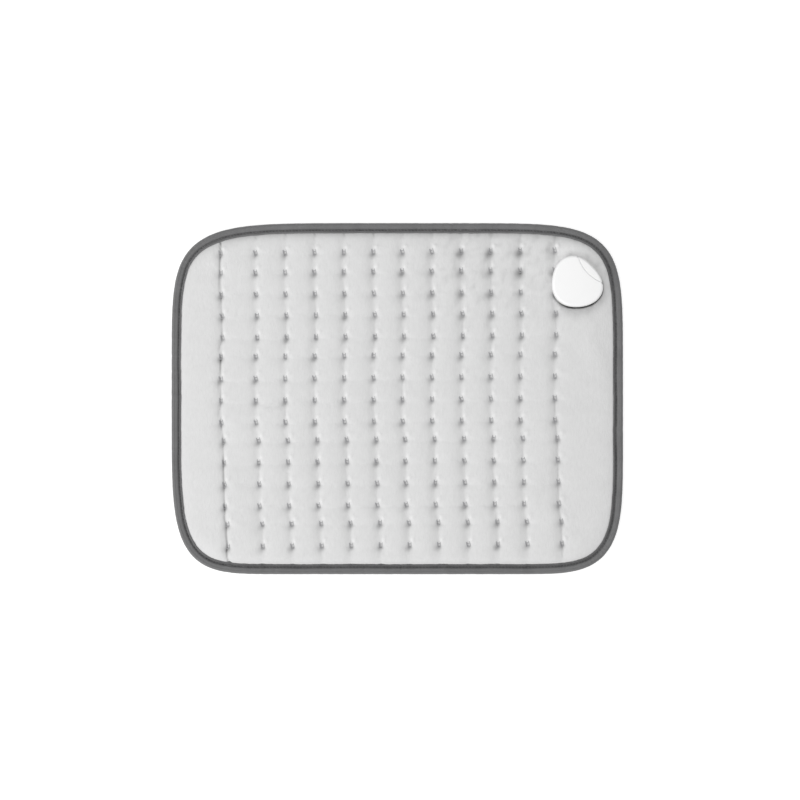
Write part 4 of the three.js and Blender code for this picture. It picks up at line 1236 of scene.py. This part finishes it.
def middle_box(x0, x1, half, low, high):
    return box(x0, x1, -half, half, low, high)


def box_pair(x0, x1, inner, outer, low, high):
    """A box on each side of the unit's axis."""
    return [box(x0, x1, inner, outer, low, high), box(x0, x1, -outer, -inner, low, high)]


def posts(radius, low, high):
    """A round post at each screw."""
    return [prism(circle(x, y, radius, 0, 40, 0.37), low, high) for x, y in screw_places]


def pivot_bar(half, radius):
    """A round bar across the unit's axis at the key's pivot."""
    return unit_solid([circle(*PIVOT, radius, y, 32)[:, [0, 2, 1]] for y in (half, -half)])


def dome_rings(inset, low):
    """The domed body of the cover, from its lower edge to near its middle."""
    shoulder = SHELL_LOW + SHOULDER_HEIGHT
    rise = SHELL_HIGH - shoulder - EDGE_ROUND
    turn = EDGE_ROUND - inset
    rings = [unit_ring(inset, low), unit_ring(inset, shoulder)]
    for angle in np.linspace(0, math.pi / 2, 11)[1:]:
        rings.append(unit_ring(EDGE_ROUND - turn * math.cos(angle), shoulder + turn * math.sin(angle)))
    for share in np.linspace(0, 0.97, 16)[1:]:
        z = shoulder + turn + rise * (1 - (1 - share) ** 2) * 16 / 15
        rings.append(unit_ring(EDGE_ROUND + (UNIT_RADIUS - EDGE_ROUND) * share, z))
    return rings


def key_prism(gap, low, high):
    """The lens between the key's rear arc and the unit's front."""
    radius, centre = KEY_ARC_RADIUS + gap, KEY_BACK + KEY_ARC_RADIUS
    half = math.acos((centre - UNIT_RADIUS) / radius)
    angle = np.linspace(math.pi - half, math.pi + half, 42)
    arc = np.c_[centre + radius * np.cos(angle), radius * np.sin(angle)]
    return prism(np.vstack([arc, [(FRONT, arc[-1, 1]), (FRONT, arc[0, 1])]]), low, high)


def combine(piece, operation, *tools, keep=False):
    """One exact boolean for each tool, each of which is used up unless it is kept."""
    for tool in tools:
        modify(piece, "BOOLEAN", operation=operation, solver="EXACT", object=tool)
        apply_modifiers(piece)
        if not keep:
            remove(tool)
    return piece


def mould(piece, name, voxel=VOXEL, smoothing=MOULD_SMOOTHING):
    """Gives a solid the small rounds of a moulded part."""
    piece.name = piece.data.name = name
    modify(piece, "REMESH", mode="VOXEL", voxel_size=voxel * MM, use_smooth_shade=True)
    modify(piece, "SMOOTH", factor=0.5, iterations=smoothing)
    return apply_modifiers(piece)


def white_part(piece, name, node, body="pad"):
    finish_piece(mould(piece, name), white_shell, "white_shell", node, body=body)


def cheeks_within(solid, low, high):
    """The mouth's two side walls, kept inside a solid that is used up."""
    cheeks = box_pair(BLOCK_BACK, FRONT, MOUTH_HALF, MOUTH_HALF + CHEEK, low, high)
    for cheek in cheeks:
        combine(cheek, "INTERSECT", solid, keep=True)
    remove(solid)
    return cheeks


def mouth(low, high):
    return middle_box(MOUTH_BACK, FRONT + 1, MOUTH_HALF + OVERLAP, low, high)


def seam_notches():
    """Small grooves down the unit's side, where the key's seam comes out."""
    radius, centre = KEY_ARC_RADIUS + KEY_GAP / 2, KEY_BACK + KEY_ARC_RADIUS
    angle = np.linspace(math.pi / 2, math.pi, 4000)
    x, y = centre + radius * np.cos(angle), radius * np.sin(angle)
    k = np.abs(np.hypot(x, y) - unit_reach(np.arctan2(y, x))).argmin()
    rings = [circle(x[k], side * y[k], NOTCH, 0, 24, 0.37) for side in (1, -1)]
    return [prism(ring, SHELL_LOW - 2, ABOVE + OVERLAP) for ring in rings]


def socket_shell():
    shell = unit_solid(dome_rings(0, SHELL_LOW))
    combine(shell, "DIFFERENCE", unit_solid(dome_rings(SHELL_WALL, SHELL_LOW - 1)))
    x, z = PIVOT
    lugs = box_pair(x - LUG_HALF, x + LUG_HALF, LUG_INNER, LUG_OUTER, z - BARREL_RADIUS, CEILING + 0.7)
    inside = unit_solid(dome_rings(SHELL_WALL / 2, SHELL_LOW))
    cheeks = cheeks_within(inside, SHELL_LOW + OVERLAP, KEY_Z - KEY_ROOM + OVERLAP)
    bosses = posts(BOSS_RADIUS, SHELL_LOW + 2 * OVERLAP, CEILING + 0.8)
    combine(shell, "UNION", *bosses, *lugs, *cheeks)
    combine(
        shell, "DIFFERENCE", *seam_notches(), key_prism(KEY_GAP, KEY_Z - KEY_ROOM, ABOVE),
        mouth(SHELL_LOW - 1, KEY_Z), pivot_bar(PIN_HOLE_HALF, PIN_RADIUS + CLEARANCE),
        *posts(SCREW_RADIUS + CLEARANCE, SHELL_LOW - 1, SHELL_LOW + 5.5),
    )
    white_part(shell, "socket_shell", "socket_cover")


def release_key():
    lens = unit_solid(dome_rings(KEY_STEP, SHELL_LOW))
    combine(lens, "INTERSECT", key_prism(0, KEY_Z, ABOVE))
    low, high = KEY_Z + OVERLAP, KEY_Z + LEVER_THICKNESS
    wings_front, catch_front = WINGS_BACK + WINGS_LENGTH, LEVER_BACK + CATCH_LENGTH
    combine(
        lens, "UNION",
        middle_box(LEVER_BACK, KEY_BACK + EDGE_ROUND, LEVER_HALF, low, high),
        middle_box(WINGS_BACK, wings_front, WINGS_HALF, low + OVERLAP, high - 2 * OVERLAP),
        middle_box(LEVER_BACK + OVERLAP, catch_front, CATCH_HALF, KEY_Z - CATCH_DEPTH, high - OVERLAP),
        pivot_bar(LEVER_HALF - OVERLAP, BARREL_RADIUS),
    )
    combine(lens, "DIFFERENCE", pivot_bar(LEVER_HALF + 1, PIN_RADIUS + CLEARANCE), *seam_notches())
    white_part(lens, "key_cap", "release_key", body="release_key")


def socket_base():
    base = prism(unit_ring(0, 0), BASE_LOW, BASE_HIGH)
    combine(base, "DIFFERENCE", prism(unit_ring(SHELL_WALL, 0), FLOOR_Z, BASE_HIGH + 1))
    body = prism(unit_ring(0, 0), BASE_LOW, BASE_HIGH)
    cheeks = cheeks_within(body, BASE_LOW + OVERLAP, BASE_HIGH - OVERLAP)
    combine(base, "UNION", *posts(BOSS_RADIUS, BASE_LOW + OVERLAP, BASE_HIGH - OVERLAP), *cheeks)
    entry = prism(slot_ring(*BASE_SLOT), BASE_LOW - 1, FLOOR_Z + 1)
    bores = posts(SCREW_RADIUS + CLEARANCE, BASE_LOW - 1, BASE_HIGH + 1)
    combine(base, "DIFFERENCE", mouth(FLOOR_Z, BASE_HIGH + 1), entry, *bores)
    white_part(base, "socket_tray", "socket_base")


def clamp_plate():
    levels = ((PLATE_INSET + 0.6, 0), (PLATE_INSET, 0.6), (PLATE_INSET, PLATE_HIGH))
    plate = unit_solid([unit_ring(inset, z) for inset, z in levels])
    heads = posts(SCREW_HEAD_RADIUS + CLEARANCE, -1, 2.1)
    shanks = posts(SCREW_RADIUS + CLEARANCE, 1, PLATE_HIGH + 1)
    for head, shank in zip(heads, shanks):
        combine(plate, "DIFFERENCE", head, shank)
    mould(plate, "under_plate")
    points = mesh_points(plate)
    points[:, 2] = points[:, 2].clip(0)
    set_points(plate, points)
    finish_piece(plate, white_shell, "white_shell", "clamp_plate")


def contact_block():
    block = middle_box(BLOCK_BACK, BLOCK_FRONT, BLOCK_HALF, BLOCK_LOW, BLOCK_HIGH)
    for y in CONTACT_LANES:
        ends = (BLOCK_BACK - 1, BLOCK_FRONT + 1)
        lane = [circle(y, CONTACT_Z, CONTACT_RADIUS + CLEARANCE, x, 32)[:, [2, 0, 1]] for x in ends]
        combine(block, "DIFFERENCE", unit_solid(lane))
    finish_piece(mould(block, "contact_carrier", 0.2, 4), inner_plastic, "inner_plastic", "contact_block")


def contact_pins():
    radius, shoulder = CONTACT_RADIUS, CONTACT_TIP - CONTACT_RADIUS
    tip = [(radius * math.cos(a), shoulder + radius * math.sin(a)) for a in np.linspace(0, 1.45, 9)]
    profile = [(radius - 0.15, CONTACT_BACK), (radius, CONTACT_BACK + 0.15), *tip]
    points, faces = loft([circle(0, 0, r, z, 32) for r, z in profile])
    for number, lane in enumerate(CONTACT_LANES, 1):
        laid = np.c_[points[:, 2], lane + points[:, 0], CONTACT_Z + points[:, 1]]
        piece = make_object(f"brass_pin_{number}", in_pad(laid), faces)
        finish_piece(piece, brass, "brass", f"contact_pin_{number}")


def clamp_screws():
    """Pan-head screws, head down, with a six-sided recess and a cut thread."""
    sides = 48
    angle = angles(sides)
    sixth = math.pi / 3
    hexagon = math.cos(sixth / 2) / np.cos(np.mod(angle, sixth) - sixth / 2)
    head, low, tip, pitch, cut = SCREW_HEAD_RADIUS, 0.3, 19.7, 0.8, 0.22
    profile = [
        (0.1, 0.95), (hexagon, 0.85), (hexagon, 0.08), (1.12, 0), (head - 0.5, 0), (head - 0.15, 0.15),
        (head, 0.5), (head, 1.4), (head - 0.1, 1.5), (SCREW_RADIUS, 1.55),
    ]
    rings = [circle(0, 0, radius, low + z, sides) for radius, z in profile]
    for share in np.linspace(0, 1, 160):
        z = 3.0 + share * (tip - 4.2)
        wave = 0.5 + 0.5 * np.cos(FULL_TURN * z / pitch - angle)
        fade = np.clip((share - 0.15) * 20, 0, 1)
        rings.append(circle(0, 0, SCREW_RADIUS - cut * (1 - wave**2) * fade, z, sides))
    rings += [circle(0, 0, SCREW_RADIUS * 0.55, tip - 0.4, sides), circle(0, 0, 0.2, tip, sides)]
    points, faces = loft(rings)
    for number, (x, y) in enumerate(screw_places, 1):
        piece = make_object(f"plate_screw_{number}", in_pad(points + (x, y, 0)), faces)
        finish_piece(piece, steel, "steel", f"clamp_screw_{number}")


def key_springs():
    """Two coils under the key, one on each side."""
    share = np.linspace(0, 1, SPRING_TURNS * 28 + 1)
    angle = FULL_TURN * SPRING_TURNS * share
    # The end coils lie closed.
    climb = np.interp(share, [0, 0.18, 0.82, 1], [0, 0.08, 0.92, 1])
    z = SPRING_LOW + SPRING_WIRE + (SPRING_HIGH - SPRING_LOW - 2 * SPRING_WIRE) * climb
    for side, name in ((1, "left"), (-1, "right")):
        x = SPRING_X + SPRING_RADIUS * np.cos(angle)
        path = np.c_[x, side * SPRING_Y + SPRING_RADIUS * np.sin(angle), z]
        piece = make_object(f"coil_spring_{name}", *tubes([in_pad(path)], SPRING_WIRE, 8))
        finish_piece(piece, steel, "steel", f"key_spring_{name}")
        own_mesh(piece)


socket_shell()
release_key()
socket_base()
clamp_plate()
contact_block()
contact_pins()
clamp_screws()
key_springs()

# CAD parts that keep their own shape
for node, material, bevel in (
    ("heating_wire", wire_sheath, 0),
    ("key_pivot_pin", steel, 0),
    ("terminal_board", board, 0.12),
    ("thermal_fuse", inner_plastic, 0),
    ("lead_terminal_left", brass, 0.1),
    ("lead_terminal_right", brass, 0.1),
    ("lead_grommet", grommet_rubber, 0.12),
):
    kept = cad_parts[node]
    kept.data.materials.clear()
    kept.data.materials.append(material)
    if bevel:
        edges = {"limit_method": "ANGLE", "angle_limit": math.radians(40)}
        modify(kept, "BEVEL", width=bevel * MM, segments=2, **edges)


# Floor, light and camera, in metres

CAMERA_PLACE = (0.0027, -0.0013, 2.0)
FRAME_WIDTH = 0.7976
FRAME_PLANE = 0.0042
SENSOR = 36.0
FLOOR_HALF = 3.0
FLOOR_DROP = 0.0003
FLOOR_WHITE = 0.62
WORLD_STRENGTH = 0.54


def seen_rays(tree):
    """One for rays from the camera, from gloss and through glass, and nought for the light's own."""
    rays = add_node(tree, "ShaderNodeLightPath").outputs
    seen = rays["Is Camera Ray"]
    for other in ("Is Glossy Ray", "Is Transmission Ray"):
        seen = add_node(tree, "ShaderNodeMath", {0: seen, 1: rays[other]}, operation="MAXIMUM").outputs[0]
    return seen


def fresh_tree(owner):
    owner.use_nodes = True
    owner.node_tree.nodes.clear()
    return owner.node_tree


def studio_floor():
    """A floor that takes light and shadow as paper does, and looks white beyond the shadow."""
    mesh = bpy.data.meshes.new("floor")
    corners = [(x * FLOOR_HALF, y * FLOOR_HALF, -FLOOR_DROP) for x, y in ((-1, -1), (1, -1), (1, 1), (-1, 1))]
    mesh.from_pydata(corners, [], [(0, 1, 2, 3)])
    material = bpy.data.materials.new("floor_paper")
    tree = fresh_tree(material)
    color = (FLOOR_WHITE, FLOOR_WHITE, FLOOR_WHITE, 1)
    paper = add_node(tree, "ShaderNodeBsdfDiffuse", {"Color": color}).outputs[0]
    glow = add_node(tree, "ShaderNodeEmission", {"Strength": FLOOR_WHITE}).outputs[0]
    both = add_node(tree, "ShaderNodeAddShader", {0: paper, 1: glow}).outputs[0]
    shown = add_node(tree, "ShaderNodeMixShader", {0: seen_rays(tree), 1: paper, 2: both}).outputs[0]
    add_node(tree, "ShaderNodeOutputMaterial", {"Surface": shown})
    mesh.materials.append(material)
    linked("floor", mesh)


def world_light():
    world = bpy.data.worlds.new("studio")
    bpy.context.scene.world = world
    tree = fresh_tree(world)
    inputs = {"Value": seen_rays(tree), "To Min": WORLD_STRENGTH, "To Max": 1.0}
    strength = add_node(tree, "ShaderNodeMapRange", inputs).outputs["Result"]
    background = add_node(tree, "ShaderNodeBackground", {"Color": (1, 1, 1, 1), "Strength": strength})
    add_node(tree, "ShaderNodeOutputWorld", {"Surface": background.outputs[0]})


def softbox(name, place, size, power):
    lamp = linked(name, set_all(bpy.data.lights.new(name, "AREA"), shape="SQUARE", size=size, energy=power))
    lamp.location = place
    lamp.rotation_euler = (-Vector(place)).to_track_quat("-Z", "Y").to_euler()


def camera():
    lens = SENSOR * (CAMERA_PLACE[2] - FRAME_PLANE) / FRAME_WIDTH
    data = bpy.data.cameras.new("camera")
    set_all(data, sensor_width=SENSOR, lens=lens, clip_start=0.01, clip_end=20)
    view = linked("camera", data)
    view.location = CAMERA_PLACE
    bpy.context.scene.camera = view


studio_floor()
world_light()
softbox("key_light", (-1.85, -1.4, 1.86), 3.6, 73)
softbox("top_light", (0.2, 1.1, 2.1), 2.0, 12)
camera()
bpy.context.scene.view_settings.view_transform = "Standard"
